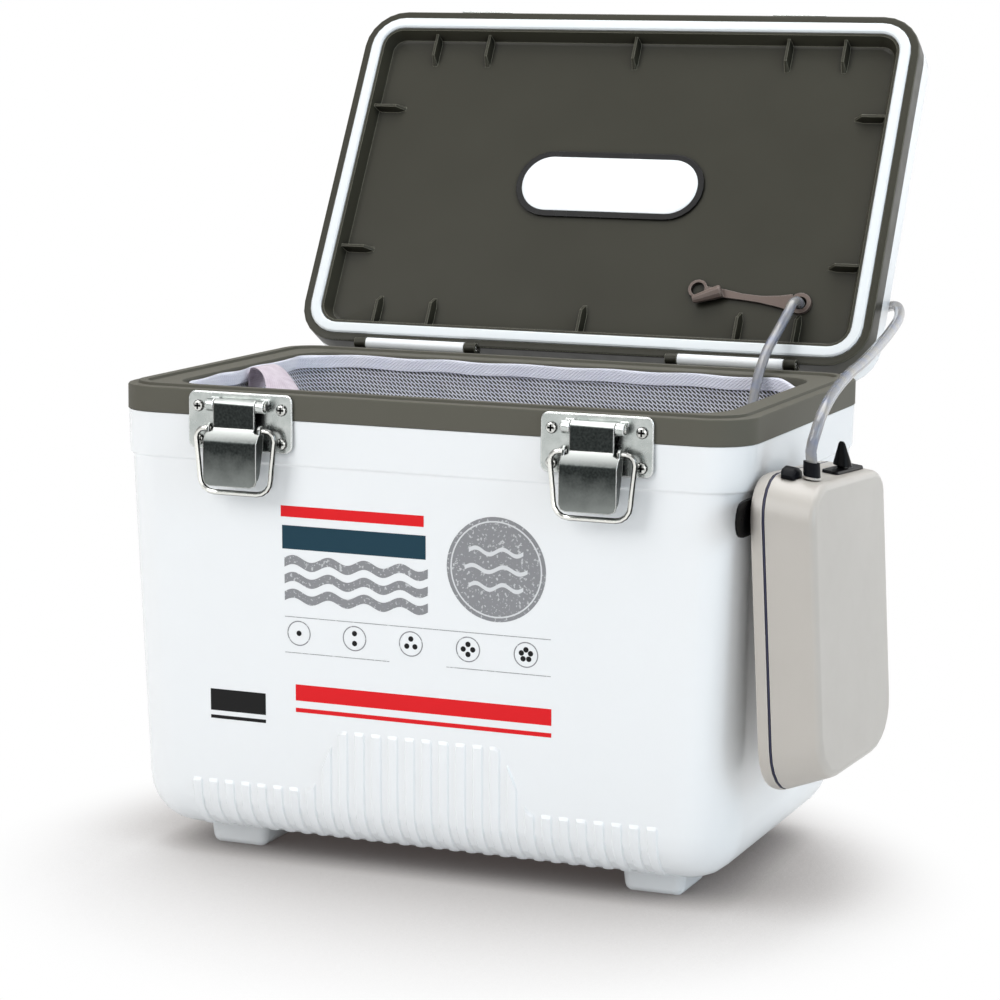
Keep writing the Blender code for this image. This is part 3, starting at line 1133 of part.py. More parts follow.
def smooth_line(points, spacing):
    """Points at an even spacing along a smooth curve through the given ones."""
    ends = [2 * points[0] - points[1]] + points + [2 * points[-1] - points[-2]]
    fine = []
    for a, b, c, d in zip(ends, ends[1:], ends[2:], ends[3:]):
        for step in range(20):
            t = step / 20
            fine.append(0.5 * (2 * b + (c - a) * t + (2 * a - 5 * b + 4 * c - d) * t * t
                               + (3 * b - a - 3 * c + d) * t ** 3))
    fine.append(points[-1])
    length = sum((q - p).length for p, q in zip(fine, fine[1:]))
    count = round(length / spacing)
    line = [fine[0]]
    walked = 0.0
    for p, q in zip(fine, fine[1:]):
        walked += (q - p).length
        while len(line) < count and walked >= len(line) * length / count - 1e-9:
            line.append(q)
    line[-1 if len(line) > count else len(line) - 1:] = [fine[-1]]
    return line


def build_air_line(assembly, frame):
    """Hose from the pump's nipple, behind the lid, through its grommet and down to the air stone."""
    turn = Matrix.Rotation(PUMP_TURN, 4, "Z") @ Matrix.Rotation(PUMP_LEAN, 4, "Y")
    origin = assembly.places[frame]
    nipple_x, nipple_w = NIPPLE_PLACE
    start = pump_form(nipple_x, nipple_w, PUMP_ABOVE_HANGER + NIPPLE_HEIGHT) + TOUCH
    points = [origin + turn @ Vector((nipple_x, nipple_w, start + rise)) for rise in (0.0, 0.0040, 0.0090)]
    axis = Vector((0, HINGE_Y, HINGE_Z))
    swing = Matrix.Rotation(-LID_OPEN, 4, "X")

    def on_lid(z):
        return axis + swing @ (Vector((GROMMET_PLACE[0], HALF_DEPTH - GROMMET_PLACE[1], z)) - axis)

    floor = LID_FACE + PAN_DEPTH
    outside = [(176.4, -71.6, 214.3), (176.7, -63.5, 221.6), (176.1, -46.0, 228.0), (175.6, -20.0, 233.7),
               (175.3, 8.0, 237.2), (172.4, 45.0, 241.1), (169.0, 78.0, 244.5), (165.0, 108.0, 248.5),
               (155.6, 140.0, 250.3), (146.8, 152.7, 248.6), (137.6, 160.3, 242.9), (126.6, 160.8, 236.8),
               (119.6, 157.4, 234.8), (113.9, 150.7, 235.3)]
    inside = [(111.8, 114.2, 253.3), (111.6, 109.9, 253.1), (111.3, 105.9, 251.6), (111.0, 102.7, 248.8),
              (108.3, 94.0, 239.6), (106.9, 82.2, 231.6), (106.3, 72.8, 222.5), (106.3, 65.6, 213.0),
              (106.4, 59.4, 202.5), (106.2, 51.4, 187.0), (105.0, 44.0, 166.0), (103.5, 33.0, 141.0),
              (101.0, 23.0, 117.0), (97.0, 14.0, 93.0), (91.0, 7.0, 71.0), (81.5, 2.6, 52.5)]
    stone_z = FLOOR_HEIGHT + NET_GAP + NET_WALL + TOUCH + STONE_RADIUS
    points += [Vector(point) / 1000 for point in outside]
    sag = Vector((0, 0, HOSE_SAG))
    points += [on_lid(LID_FACE + LID_HEIGHT + 0.0050), on_lid(LID_FACE + 0.0180) - sag / 2,
               on_lid(floor - 0.0030) - sag]
    points += [Vector(point) / 1000 for point in inside]
    points += [Vector((0.0700, 0.0005, stone_z + 0.0018)), Vector((0.0620, 0.0, stone_z)),
               Vector((0.0550, 0.0, stone_z))]
    line = smooth_line(points, 0.0105)
    curve = bpy.data.curves.new("air_hose", "CURVE")
    curve.dimensions = "3D"
    spline = curve.splines.new("POLY")
    spline.points.add(len(line) - 1)
    for knot, point in zip(spline.points, line):
        knot.co = (*point, 1.0)
    curve.bevel_depth = HOSE_RADIUS
    curve.bevel_resolution = 2
    curve.use_fill_caps = True
    curve.resolution_u = 1
    hose = bpy.data.objects.new("air_hose", curve)
    curve.materials.append(surface("air_hose", "clear_hose"))
    assembly.put(hose, (0, 0, 0), None)
    end = line[-1].x - 2 * TOUCH
    stone = turned([(end, 0.0030), (end - 0.0020, 0.0034), (end - 0.0030, STONE_RADIUS),
                    (end - STONE_LENGTH + 0.0020, STONE_RADIUS), (end - STONE_LENGTH, STONE_RADIUS - 0.0020)],
                   "X", (0, 0.0, stone_z), steps=14)
    assembly.add("air_stone", stone, "air_stone")


def rest_on_ground(assembly):
    """Shift everything so that the origin is under the middle of the box around all pieces but the hose."""
    bpy.context.view_layer.update()
    corners = [item.matrix_world @ Vector(corner) for item in assembly.places
               if item.type == "MESH" and item.name != "air_stone" for corner in item.bound_box]
    assembly.root.location = (-(min(c.x for c in corners) + max(c.x for c in corners)) / 2,
                              -(min(c.y for c in corners) + max(c.y for c in corners)) / 2,
                              -min(c.z for c in corners))
    bpy.context.view_layer.update()


def main():
    """Build the cooler with its lid open."""
    for item in list(bpy.data.objects):
        bpy.data.objects.remove(item)
    assembly = Assembly("bait_cooler")
    build_tub(assembly)
    build_net(assembly)
    for side, x in LATCH_SIDES:
        build_latch(assembly, side, x)
    for index, (x, z) in enumerate(LATCH_SCREW_SPOTS, 1):
        assembly.add("latch_screw_%d" % index, screw(x, PLATE_FRONT_Y, z, LATCH_SCREW_LENGTH, -1),
                     "stainless_wire")
    build_hinges(assembly)
    lid = assembly.frame("lid_axis", (0, HINGE_Y, HINGE_Z), None, (-LID_OPEN, 0, 0))
    build_lid(assembly, lid)
    frame = build_pump(assembly)
    build_air_line(assembly, frame)
    rest_on_ground(assembly)


main()
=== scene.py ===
"""Visual model of an insulated live-bait cooler with its lid open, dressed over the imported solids."""
from __future__ import annotations

import logging
import math
from dataclasses import dataclass, field
from enum import Enum
from typing import Any, Callable, Sequence

import bmesh
import bpy
from mathutils import Matrix, Vector

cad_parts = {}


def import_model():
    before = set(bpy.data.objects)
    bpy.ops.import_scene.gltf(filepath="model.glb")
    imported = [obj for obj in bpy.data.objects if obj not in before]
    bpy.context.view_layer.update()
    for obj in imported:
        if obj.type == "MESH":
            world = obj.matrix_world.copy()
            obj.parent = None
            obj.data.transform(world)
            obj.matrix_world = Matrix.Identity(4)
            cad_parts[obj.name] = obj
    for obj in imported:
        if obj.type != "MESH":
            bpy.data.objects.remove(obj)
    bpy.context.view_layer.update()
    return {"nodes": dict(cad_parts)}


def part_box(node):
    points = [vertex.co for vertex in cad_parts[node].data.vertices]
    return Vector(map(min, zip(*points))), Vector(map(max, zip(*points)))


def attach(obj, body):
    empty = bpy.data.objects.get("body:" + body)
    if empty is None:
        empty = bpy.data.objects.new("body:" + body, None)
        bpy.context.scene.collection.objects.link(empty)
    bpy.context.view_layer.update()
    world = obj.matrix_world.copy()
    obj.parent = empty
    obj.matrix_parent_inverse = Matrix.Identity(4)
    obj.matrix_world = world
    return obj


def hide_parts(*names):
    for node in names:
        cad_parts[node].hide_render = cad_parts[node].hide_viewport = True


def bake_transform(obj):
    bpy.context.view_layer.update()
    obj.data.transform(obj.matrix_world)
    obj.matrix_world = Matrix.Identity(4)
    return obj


LOG = logging.getLogger("bait_cooler")

Socket = bpy.types.NodeSocket
Inputs = dict[Any, Any]
Triple = tuple[float, float, float]
Pair = tuple[float, float]

# The middle of the tub's foot plane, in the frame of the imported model
TUB_MIDDLE = Vector((-0.022637, -0.054038, 0.0))


def place(x: float, y: float, z: float) -> Vector:
    """Point in the model's frame.

    Args:
        x: Millimetres to the right of the middle of the tub.
        y: Millimetres behind the middle of the tub.
        z: Millimetres above the ground.

    Returns:
        The point in metres.
    """
    return TUB_MIDDLE + Vector((x, y, z)) / 1000


def linear(colour: str) -> tuple[float, float, float, float]:
    """Turn an sRGB hex colour into the linear colour that shaders take.

    Args:
        colour: Six hex digits.

    Returns:
        Red, green, blue and alpha.
    """
    channels = [int(colour[index:index + 2], 16) / 255 for index in (0, 2, 4)]
    bent = [value / 12.92 if value <= 0.04045 else ((value + 0.055) / 1.055) ** 2.4 for value in channels]
    return (bent[0], bent[1], bent[2], 1.0)


def feed(node: bpy.types.Node, inputs: Inputs) -> None:
    """Give inputs of a node their values or links.

    Args:
        node: The node.
        inputs: Value or source socket for each input, by name or number.
    """
    for key, value in inputs.items():
        if isinstance(value, Socket):
            node.id_data.links.new(value, node.inputs[key])
        else:
            node.inputs[key].default_value = value


def add(tree: bpy.types.NodeTree, kind: str, inputs: Inputs | None = None, **settings: Any) -> bpy.types.Node:
    """Add one shader or geometry node with its settings and links.

    Args:
        tree: The node tree that it goes into.
        kind: Blender's name for the kind of node.
        inputs: Value or source socket for each input, by name or number.
        **settings: Properties of the node itself.

    Returns:
        The new node.
    """
    made = tree.nodes.new(kind)
    for name, value in settings.items():
        setattr(made, name, value)
    feed(made, inputs or {})
    return made


# Finishes


class Paint:
    """Shader tree of a material or of the world, with the steps that every look is made of."""

    def __init__(self, tree: bpy.types.NodeTree) -> None:
        """Keep the tree."""
        self.tree = tree

    def new(self, kind: str, output: str | int, inputs: Inputs | None = None, **settings: Any) -> Socket:
        """Output, by name or number, of a new shader node."""
        return add(self.tree, "ShaderNode" + kind, inputs, **settings).outputs[output]

    def axes(self, output: str, kind: str = "TexCoord") -> list[Socket]:
        """X, Y and Z of a place or direction that a kind of node gives out."""
        return list(add(self.tree, "ShaderNodeSeparateXYZ", {0: self.new(kind, output)}).outputs)

    def math(self, operation: str, first: Any, second: Any = 0.0) -> Socket:
        """Result of one step of arithmetic on shader values."""
        return self.new("Math", 0, {0: first, 1: second}, operation=operation)

    def facing(self, first: Any, second: Any) -> Socket:
        """Cosine of the angle between two directions."""
        return self.new("VectorMath", "Value", {0: first, 1: second}, operation="DOT_PRODUCT")

    def between(self, value: Socket, low: float, high: float, source: Pair = (0.3, 0.7)) -> Socket:
        """Spread a pattern's value over a range.

        Args:
            value: The pattern.
            low: Result at the pattern's low end.
            high: Result at its high end.
            source: The pattern's own ends.

        Returns:
            The spread value.
        """
        return self.new("MapRange", "Result", {"Value": value, "From Min": source[0], "From Max": source[1],
                                               "To Min": low, "To Max": high})

    def noise(self, size_mm: float, detail: float = 2.0, stretch: Triple = (1.0, 1.0, 1.0)) -> Socket:
        """Noise whose spots have a real size.

        Args:
            size_mm: Size of one spot.
            detail: Finer octaves on top.
            stretch: How many times longer a spot is along each axis.

        Returns:
            The noise value.
        """
        where = self.new("TexCoord", "Object")
        if stretch != (1.0, 1.0, 1.0):
            shrink = [1 / share for share in stretch]
            where = self.new("VectorMath", "Vector", {0: where, 1: shrink}, operation="MULTIPLY")
        return self.new("TexNoise", "Fac", {"Vector": where, "Scale": 1000 / size_mm, "Detail": detail})

    def blend(self, share: Any, first: Any, second: Any) -> Socket:
        """Mix two colours.

        Args:
            share: How much of the second colour.
            first: Hex colour, plain colour or source socket.
            second: The same.

        Returns:
            The mixed colour.
        """
        pair = [linear(each) if isinstance(each, str) else each for each in (first, second)]
        return self.new("Mix", 2, {0: share, 6: pair[0], 7: pair[1]}, data_type="RGBA")

    def bump(self, height: Socket, depth_mm: float, normal: Socket | None = None) -> Socket:
        """Normal with a pattern pressed into it to a real depth.

        Args:
            height: The pattern.
            depth_mm: How deep it is pressed.
            normal: Normal that it is pressed into.

        Returns:
            The new normal.
        """
        inputs = {"Height": height, "Distance": depth_mm / 1000, "Strength": 1.0}
        if normal:
            inputs["Normal"] = normal
        return self.new("Bump", "Normal", inputs)

    def rounded(self, radius_mm: float) -> Socket:
        """Normal that rounds hard edges off as moulding, pressing or tumbling does."""
        return self.new("Bevel", "Normal", {"Radius": radius_mm / 1000}, samples=4)

    def on_edges(self, rounded: Socket, cosines: Pair = (0.88, 0.985)) -> Socket:
        """1 where an edge is rounded over and 0 on the flat, by how far the rounded normal leans."""
        return self.between(self.facing(rounded, self.new("NewGeometry", "Normal")), 1.0, 0.0, cosines)

    def painted_gap_shade(self, colour: Any, painted_shade: str, reach_mm: float, until: float = 0.62,
                 closed: float = 0.15) -> Socket:
        """Painted shade: colour that darkens in narrow gaps, where hardly any light comes back out.

        Args:
            colour: Colour of the open surface.
            painted_shade: Hex colour of the painted shade at the bottom of a gap.
            reach_mm: How wide a gap still darkens.
            until: Openness from which nothing darkens.
            closed: Openness up to which all is dark.

        Returns:
            The shaded colour.
        """
        openness = self.new("AmbientOcclusion", "AO", {"Distance": reach_mm / 1000}, samples=8)
        return self.blend(self.between(openness, 1.0, 0.0, (closed, until)), colour, painted_shade)


@dataclass(frozen=True)
class Finish:
    """A material: what the real one is and how its surface was made."""

    name: str
    colour: str
    roughness: float
    metallic: float = 0.0
    ior: float = 1.5
    edge_mm: float = 0.5

    def material(self) -> bpy.types.Material:
        """Build the material once, and hand out the same one after that.

        Returns:
            The Blender material.
        """
        made = bpy.data.materials.get(self.name)
        if made:
            return made
        made = bpy.data.materials.new(self.name)
        made.use_nodes = True
        shader = made.node_tree.nodes["Principled BSDF"]
        feed(shader, {"Base Color": linear(self.colour), "Roughness": self.roughness,
                      "Metallic": self.metallic})
        if not self.metallic:
            feed(shader, {"IOR": self.ior})
        feed(shader, self.surface(Paint(made.node_tree)))
        return made

    def surface(self, paint: Paint) -> Inputs:
        """What the shader takes for all that the surface shows beyond its plain colour."""
        return {}


@dataclass(frozen=True)
class MouldedPlastic(Finish):
    """Injection-moulded plastic: an even colour, a fine tool grain and slow flow waves in the gloss."""

    grain_mm: float = 0.45
    grain_depth_mm: float = 0.010
    flow_mm: float = 34.0
    flow_depth_mm: float = 0.05
    gloss_mm: float = 9.0
    shine: float = 0.5
    shade: str = ""
    shade_mm: float = 70.0
    # Painted shade in hollows and in narrow seams, a painted highlight on rounded edges and painted shade on
    # upward slopes low on the piece; none where empty
    painted_shade: str = ""
    painted_shade_reach_mm: float = 26.0
    painted_shade_until: float = 0.74
    painted_seam_shade: str = ""
    seam_reach_mm: float = 5.0
    seam_until: float = 0.97
    painted_edge_highlight: str = ""
    painted_ledge_shade: str = ""

    def surface(self, paint: Paint) -> Inputs:
        """Grain, flow waves, uneven gloss, a slight drift of colour, painted shade in gaps and on low upward
        slopes, and a painted highlight on edges.

        Args:
            paint: The material's tree.

        Returns:
            What the shader takes.
        """
        rounded = paint.rounded(self.edge_mm)
        waves = paint.bump(paint.noise(self.flow_mm, 1.0), self.flow_depth_mm, rounded)
        drift = paint.between(paint.noise(self.shade_mm), 0.0, 1.0)
        colour = paint.blend(drift, self.colour, self.shade or self.colour)
        # Painted shade in hollows and seams, a painted highlight on rounded edges and painted shade on low
        # upward slopes
        if self.painted_shade:
            colour = paint.painted_gap_shade(colour, self.painted_shade, self.painted_shade_reach_mm, self.painted_shade_until)
        if self.painted_seam_shade:
            colour = paint.painted_gap_shade(colour, self.painted_seam_shade, self.seam_reach_mm, self.seam_until)
        if self.painted_edge_highlight:
            colour = paint.blend(paint.on_edges(rounded), colour, self.painted_edge_highlight)
        if self.painted_ledge_shade:
            colour = paint.blend(self.low_upward_slopes(paint), colour, self.painted_ledge_shade)
        return {"Base Color": colour,
                "Roughness": paint.between(paint.noise(self.gloss_mm, 3.0), self.roughness - 0.04,
                                           self.roughness + 0.05),
                "Normal": paint.bump(paint.noise(self.grain_mm), self.grain_depth_mm, waves),
                "Specular IOR Level": self.shine}

    def low_upward_slopes(self, paint: Paint, lean: Pair = (0.04, 0.16), heights: Pair = (0.40, 0.45)) -> Socket:
        """1 on slopes that lean upward low on the piece, which get painted shade."""
        low = paint.between(paint.axes("Generated")[2], 1.0, 0.0, heights)
        return paint.math("MULTIPLY", paint.between(paint.axes("Normal")[2], 0.0, 1.0, lean), low)


@dataclass(frozen=True)
class SteelSheet(Finish):
    """Pressed stainless sheet, tumbled or brushed: soft streaks, dulled patches, painted shade in gaps and a
    painted highlight on its edges.
    """

    streak: Triple = (14.0, 1.0, 1.0)
    streak_mm: float = 0.35
    streak_depth_mm: float = 0.001
    dull: str = ""
    dull_mm: float = 1.6
    # Colours of the painted shade in gaps and of the painted highlight on edges
    painted_shade: str = "1d1e1e"
    painted_shade_reach_mm: float = 9.0
    wear_and_highlight: str = "f6f6f2"

    def surface(self, paint: Paint) -> Inputs:
        """Streaks along the rolling direction, patches of tarnish, painted shade in gaps and a painted
        highlight on the edges.

        Args:
            paint: The material's tree.

        Returns:
            What the shader takes.
        """
        rounded = paint.rounded(self.edge_mm)
        streaks = paint.noise(self.streak_mm, 3.0, self.streak)
        patches = paint.noise(self.dull_mm, 4.0)
        colour = paint.blend(paint.between(patches, 0.0, 1.0), self.colour, self.dull or self.colour)
        # Painted shade in gaps, then a painted highlight on the rounded edges
        colour = paint.painted_gap_shade(self.pressed(paint, colour), self.painted_shade, self.painted_shade_reach_mm)
        return {"Base Color": paint.blend(paint.on_edges(rounded), colour, self.wear_and_highlight),
                "Roughness": paint.between(patches, self.roughness - 0.05, self.roughness + 0.08),
                "Normal": paint.bump(streaks, self.streak_depth_mm, rounded)}

    def pressed(self, paint: Paint, colour: Socket) -> Socket:
        """Colour with what the shape of the pressing adds; plain sheet adds nothing."""
        return colour


@dataclass(frozen=True)
class LeverSteel(SteelSheet):
    """Sheet of the lever: dark as a painted reflection of dark surroundings, paler towards its tip, with a
    painted highlight where it slopes up.
    """

    pale: str = "8d928f"
    # Colour of the painted highlight where the lever slopes up
    slope_highlight: str = "d4d8d5"
    # Shares of the lever's height, and how far a slope leans up
    tip: Pair = (-0.12, 0.30)
    slope: Pair = (0.53, 0.66)
    lean: Pair = (0.30, 0.55)

    def pressed(self, paint: Paint, colour: Socket) -> Socket:
        """Pale tip and a painted highlight on the slope.

        Args:
            paint: The material's tree.
            colour: Colour of the plain sheet.

        Returns:
            The colour with them.
        """
        height = paint.axes("Generated")[2]
        drift = paint.math("MULTIPLY", paint.noise(7.0, 3.0), 0.25)
        tip = paint.between(paint.math("SUBTRACT", height, drift), 0.9, 0.0, self.tip)
        # Painted highlight where the sheet leans up, in a band of its height
        slope = paint.math("MULTIPLY", paint.between(paint.axes("Normal")[2], 0.0, 1.0, self.lean),
                           paint.between(height, 0.15, 1.0, self.slope))
        return paint.blend(slope, paint.blend(tip, colour, self.pale), self.slope_highlight)


@dataclass(frozen=True)
class RoundSteel(SteelSheet):
    """Drawn wire or a turned pin: bright where it faces front or back, with painted shade along its other
    sides.
    """

    # Colour of the painted shade along the sides, and how far a side faces front to be free of it
    rim: str = "101110"
    sides: Pair = (0.55, 0.90)

    def pressed(self, paint: Paint, colour: Socket) -> Socket:
        """Painted shade on the sides."""
        front = paint.math("ABSOLUTE", paint.axes("Normal")[1])
        return paint.blend(paint.between(front, 1.0, 0.0, self.sides), colour, self.rim)


@dataclass(frozen=True)
class CrossHeadSteel(RoundSteel):
    """Pan-head screw with a cross recess stamped in its head, shown as painted shade."""

    arm_share: float = 0.085
    reach_share: float = 0.30
    # Colour of the painted shade in the cross recess
    recess: str = "0d0e0e"

    def pressed(self, paint: Paint, colour: Socket) -> Socket:
        """Painted shade in a cross in the middle of the head, where the recess is.

        Args:
            paint: The material's tree.
            colour: Colour of the plain sheet.

        Returns:
            The colour with it.
        """
        across, _, up = paint.axes("Generated")
        offs = [paint.math("ABSOLUTE", paint.math("SUBTRACT", part, 0.5)) for part in (across, up)]
        arms = [paint.math("MULTIPLY", paint.math("LESS_THAN", narrow, self.arm_share),
                           paint.math("LESS_THAN", long, self.reach_share))
                for narrow, long in (offs, offs[::-1])]
        return paint.blend(paint.math("MAXIMUM", *arms), super().pressed(paint, colour), self.recess)


@dataclass(frozen=True)
class NetMesh(Finish):
    """Warp-knitted polyester mesh: slanted open slits in staggered rows between soft legs."""

    # Slits of the knit: 3.4 mm from one to the next in rows 1.3 mm apart, and leaning 38 degrees
    row_mm: float = 1.3
    slit_mm: float = 3.4
    lean: float = math.radians(38.0)
    # Half of a slit's width and length, as shares of those two distances
    half_slit: Pair = (0.30, 0.43)
    openness: float = 1.0
    lit: str = "f6f6fc"
    shadow: str = "8f9bb0"

    def surface(self, paint: Paint) -> Inputs:
        """Cut the slits out in slanted rows, and round and shade the legs between them.

        Args:
            paint: The material's tree.

        Returns:
            What the shader takes.
        """

        def off_middle(count: Socket, half: float) -> Socket:
            """Square of the way from the middle of a slit to its rim, from the count of slits."""
            off = paint.math("ABSOLUTE", paint.math("SUBTRACT", paint.math("FRACT", count), 0.5))
            return paint.math("POWER", paint.math("MULTIPLY", off, 1 / half), 2.0)

        wide, down, _ = paint.axes("UV", "UVMap")
        lean_cos, lean_sin = math.cos(self.lean), math.sin(self.lean)
        along = paint.math("SUBTRACT", paint.math("MULTIPLY", down, lean_sin),
                           paint.math("MULTIPLY", wide, lean_cos))
        over = paint.math("ADD", paint.math("MULTIPLY", down, lean_cos),
                          paint.math("MULTIPLY", wide, lean_sin))
        row = paint.math("MULTIPLY", over, 1000 / self.row_mm)
        stagger = paint.math("MULTIPLY", paint.math("FLOOR", row), 0.5)
        slit = paint.math("ADD", paint.math("MULTIPLY", along, 1000 / self.slit_mm), stagger)
        # 0 in the middle of a slit, 1 on its rim, more on the legs
        reach = paint.math("SQRT", paint.math("ADD", off_middle(row, self.half_slit[0]),
                                              off_middle(slit, self.half_slit[1])))
        crown = paint.bump(paint.between(reach, 0.0, 1.0, (0.9, 1.5)), 0.25)
        colour = paint.blend(paint.between(reach, 0.8, 0.0, (1.0, 1.35)), self.colour, self.shadow)
        return {"Base Color": paint.blend(paint.between(paint.noise(11.0, 3.0), 0.0, 0.5), colour, self.lit),
                "Normal": paint.bump(paint.noise(0.35), 0.05, crown),
                "Alpha": paint.math("GREATER_THAN", reach, self.openness), "Sheen Weight": 0.25}


@dataclass(frozen=True)
class WovenTape(Finish):
    """Polyester webbing: close ribs over and under, with pale fuzz on them."""

    rib_mm: float = 0.9
    thread: str = "ffffff"
    shade: str = "b9b6cc"

    def surface(self, paint: Paint) -> Inputs:
        """Ribs both ways, darker in their grooves, and patches of fuzz.

        Args:
            paint: The material's tree.

        Returns:
            What the shader takes.
        """
        ribs = [paint.math("PINGPONG", paint.math("MULTIPLY", way, 1000 / self.rib_mm), 0.5)
                for way in paint.axes("UV", "UVMap")[:2]]
        weave = paint.math("MULTIPLY", *ribs)
        colour = paint.blend(paint.between(weave, 0.75, 0.0, (0.02, 0.20)), self.colour, self.shade)
        fuzz = paint.between(paint.noise(5.0, 3.0), 0.0, 0.35)
        return {"Base Color": paint.blend(fuzz, colour, self.thread), "Normal": paint.bump(weave, 0.35),
                "Sheen Weight": 0.35}


@dataclass(frozen=True)
class ClearTube(Finish):
    """Extruded soft PVC: cloudy and see-through, with faint draw lines along it."""

    clear: float = 0.55
    haze: str = "f0ede6"

    def surface(self, paint: Paint) -> Inputs:
        """See-through wall with haze in it and a glossy skin.

        Args:
            paint: The material's tree.

        Returns:
            What the shader takes.
        """
        cloud = paint.between(paint.noise(7.0), 0.0, 1.0)
        return {"Base Color": paint.blend(cloud, self.colour, self.haze),
                "Normal": paint.bump(paint.noise(0.6, 1.0), 0.012),
                "Transmission Weight": self.clear, "Coat Weight": 0.4, "Coat Roughness": 0.08}


@dataclass(frozen=True)
class GranularBody(Finish):
    """Grains or cells stuck together, as in sintered stone or rigid foam."""

    grain_mm: float = 0.7
    depth_mm: float = 0.15
    shade: str = "303030"

    def surface(self, paint: Paint) -> Inputs:
        """Cells with dark pores between them.

        Args:
            paint: The material's tree.

        Returns:
            What the shader takes.
        """
        cells = paint.new("TexVoronoi", "Distance", {"Vector": paint.new("TexCoord", "Object"),
                                                     "Scale": 1000 / self.grain_mm})
        height = paint.between(cells, 1.0, 0.0, (0.1, 0.8))
        return {"Base Color": paint.blend(height, self.shade, self.colour),
                "Normal": paint.bump(height, self.depth_mm)}


@dataclass(frozen=True)
class ScreenInk(Finish):
    """Screen-printed ink: a thin film with pinholes and a soft edge of gloss."""

    wear_and_highlight: str = "ffffff"
    wear: float = 0.0

    def surface(self, paint: Paint) -> Inputs:
        """Pinholes that let the plastic through, and a film that follows the moulded grain.

        Args:
            paint: The material's tree.

        Returns:
            What the shader takes.
        """
        share = paint.between(paint.noise(1.3, 5.0), self.wear, 0.0, (0.36, 0.42))
        return {"Base Color": paint.blend(share, self.colour, self.wear_and_highlight),
                "Normal": paint.bump(paint.noise(0.45), 0.008), "Specular IOR Level": 0.25}


# High-density polyethylene, injection moulded and left white: a soft wax-like gloss, with painted shade in
# hollows, in seams and on low upward slopes
WHITE_PE = MouldedPlastic("white_polyethylene", "eff1f2", 0.36, shade="eaedef", ior=1.54, edge_mm=0.7,
                          painted_shade="9fa8ac", painted_seam_shade="98a4a8", painted_ledge_shade="a4adb1")
# The same plastic with a grey-brown pigment: darker, so its gloss shows more; painted shade in hollows and
# seams, and a painted highlight on edges
TAUPE_PE = MouldedPlastic("taupe_polyethylene", "524f43", 0.27, shade="4b483d", ior=1.54, edge_mm=0.6,
                          flow_depth_mm=0.03, painted_shade="020202", painted_shade_reach_mm=60.0, painted_shade_until=0.90, shine=0.45,
                          painted_edge_highlight="a3a498", painted_seam_shade="1c1b17", seam_reach_mm=3.0)
# The lid's cover in the same plastic, darkened as painted shade since it faces down: matt, with painted shade
# in hollows and seams and a painted highlight on edges
SHADED_TAUPE_PE = MouldedPlastic("shaded_taupe_polyethylene", "39382f", 0.36, shade="34332a", ior=1.54, edge_mm=0.6,
                           flow_depth_mm=0.03, painted_shade="030302", painted_shade_reach_mm=24.0, painted_shade_until=0.80, shine=0.16,
                           painted_edge_highlight="7d7c6e", painted_seam_shade="15140f", seam_reach_mm=3.0)
# Blown rigid foam between the walls: cream, dull and full of small cells
FOAM = GranularBody("rigid_polyurethane_foam", "e8dcb8", 0.9, shade="c9b988", grain_mm=0.9)
# Extruded silicone seal: milky white and slightly tacky
GASKET = MouldedPlastic("silicone_gasket", "e4e9eb", 0.50, ior=1.43, grain_mm=0.8, flow_depth_mm=0.02)
# 1.2 mm stainless sheet, pressed then tumbled: bright satin, with painted shade in gaps and a painted
# highlight on its edges
PRESSED_STEEL = SteelSheet("pressed_stainless_sheet", "d2d6d3", 0.24, 1.0, dull="b4bbb8", dull_mm=9.0,
                           edge_mm=0.9, painted_shade="0c0d0d", wear_and_highlight="ffffff")
# The lever's face, tumbled in grit, with a fine mottle: its dark colour is a painted reflection of dark
# surroundings, and it has painted shade in gaps and painted highlights on its edges and slope
LEVER_STEEL_PAINTED_DARK = LeverSteel("stainless_lever_painted_dark", "3c403f", 0.34, 1.0, dull="262a29", dull_mm=1.1,
                           streak=(1.0, 1.0, 1.0), edge_mm=0.7, streak_depth_mm=0.002)
# Drawn stainless wire and turned pins: bright, with hairlines round them, painted shade along their sides and
# in gaps, and a painted highlight on edges
DRAWN_STEEL = RoundSteel("drawn_stainless_wire", "f0f0ea", 0.16, 1.0, dull="e4e5e0", dull_mm=30.0,
                         streak_mm=0.2, streak_depth_mm=0.0004, painted_shade="6b6d6c")
# Cold-headed screws: the same steel with a cross recess shown as painted shade, painted shade along the sides
# and in gaps, and a painted highlight on edges
SCREW_STEEL = CrossHeadSteel("cross_head_screw", "e8e9e5", 0.2, 1.0, dull="b9bbb7", streak_mm=0.2)
# Warp-knitted polyester: bluish white legs round slits that the dark tub shows through
NET = NetMesh("knitted_polyester_net", "e6e6f2", 0.75)
# The same knit folded over and sewn: its slits only show as a faint pattern
HEM = NetMesh("folded_net_hem", "ececfa", 0.75, slit_mm=3.0, openness=-1.0, shadow="e2e4f2", lit="f4f5fc")
# Woven polyester webbing: dusty pink-grey with close ribs
STRAP = WovenTape("polyester_lifting_strap", "c2b3bc", 0.8, rib_mm=1.1, shade="a294a2", thread="e9e2e9")
# ABS, moulded against a fine spark-eroded tool: warm off-white with a close sparkle; painted shade in hollows
# and a painted highlight on edges
PUMP_ABS = MouldedPlastic("off_white_abs", "bdb8b1", 0.33, ior=1.54, grain_mm=0.35, grain_depth_mm=0.016,
                          shade="b5b0a9", painted_shade="5a544e", painted_edge_highlight="e6e2de")
# Nitrile cord in the pump's joint: dark blue, dull
SEAL_RUBBER = MouldedPlastic("nitrile_joint_seal", "1f2140", 0.5, ior=1.52, grain_mm=0.6)
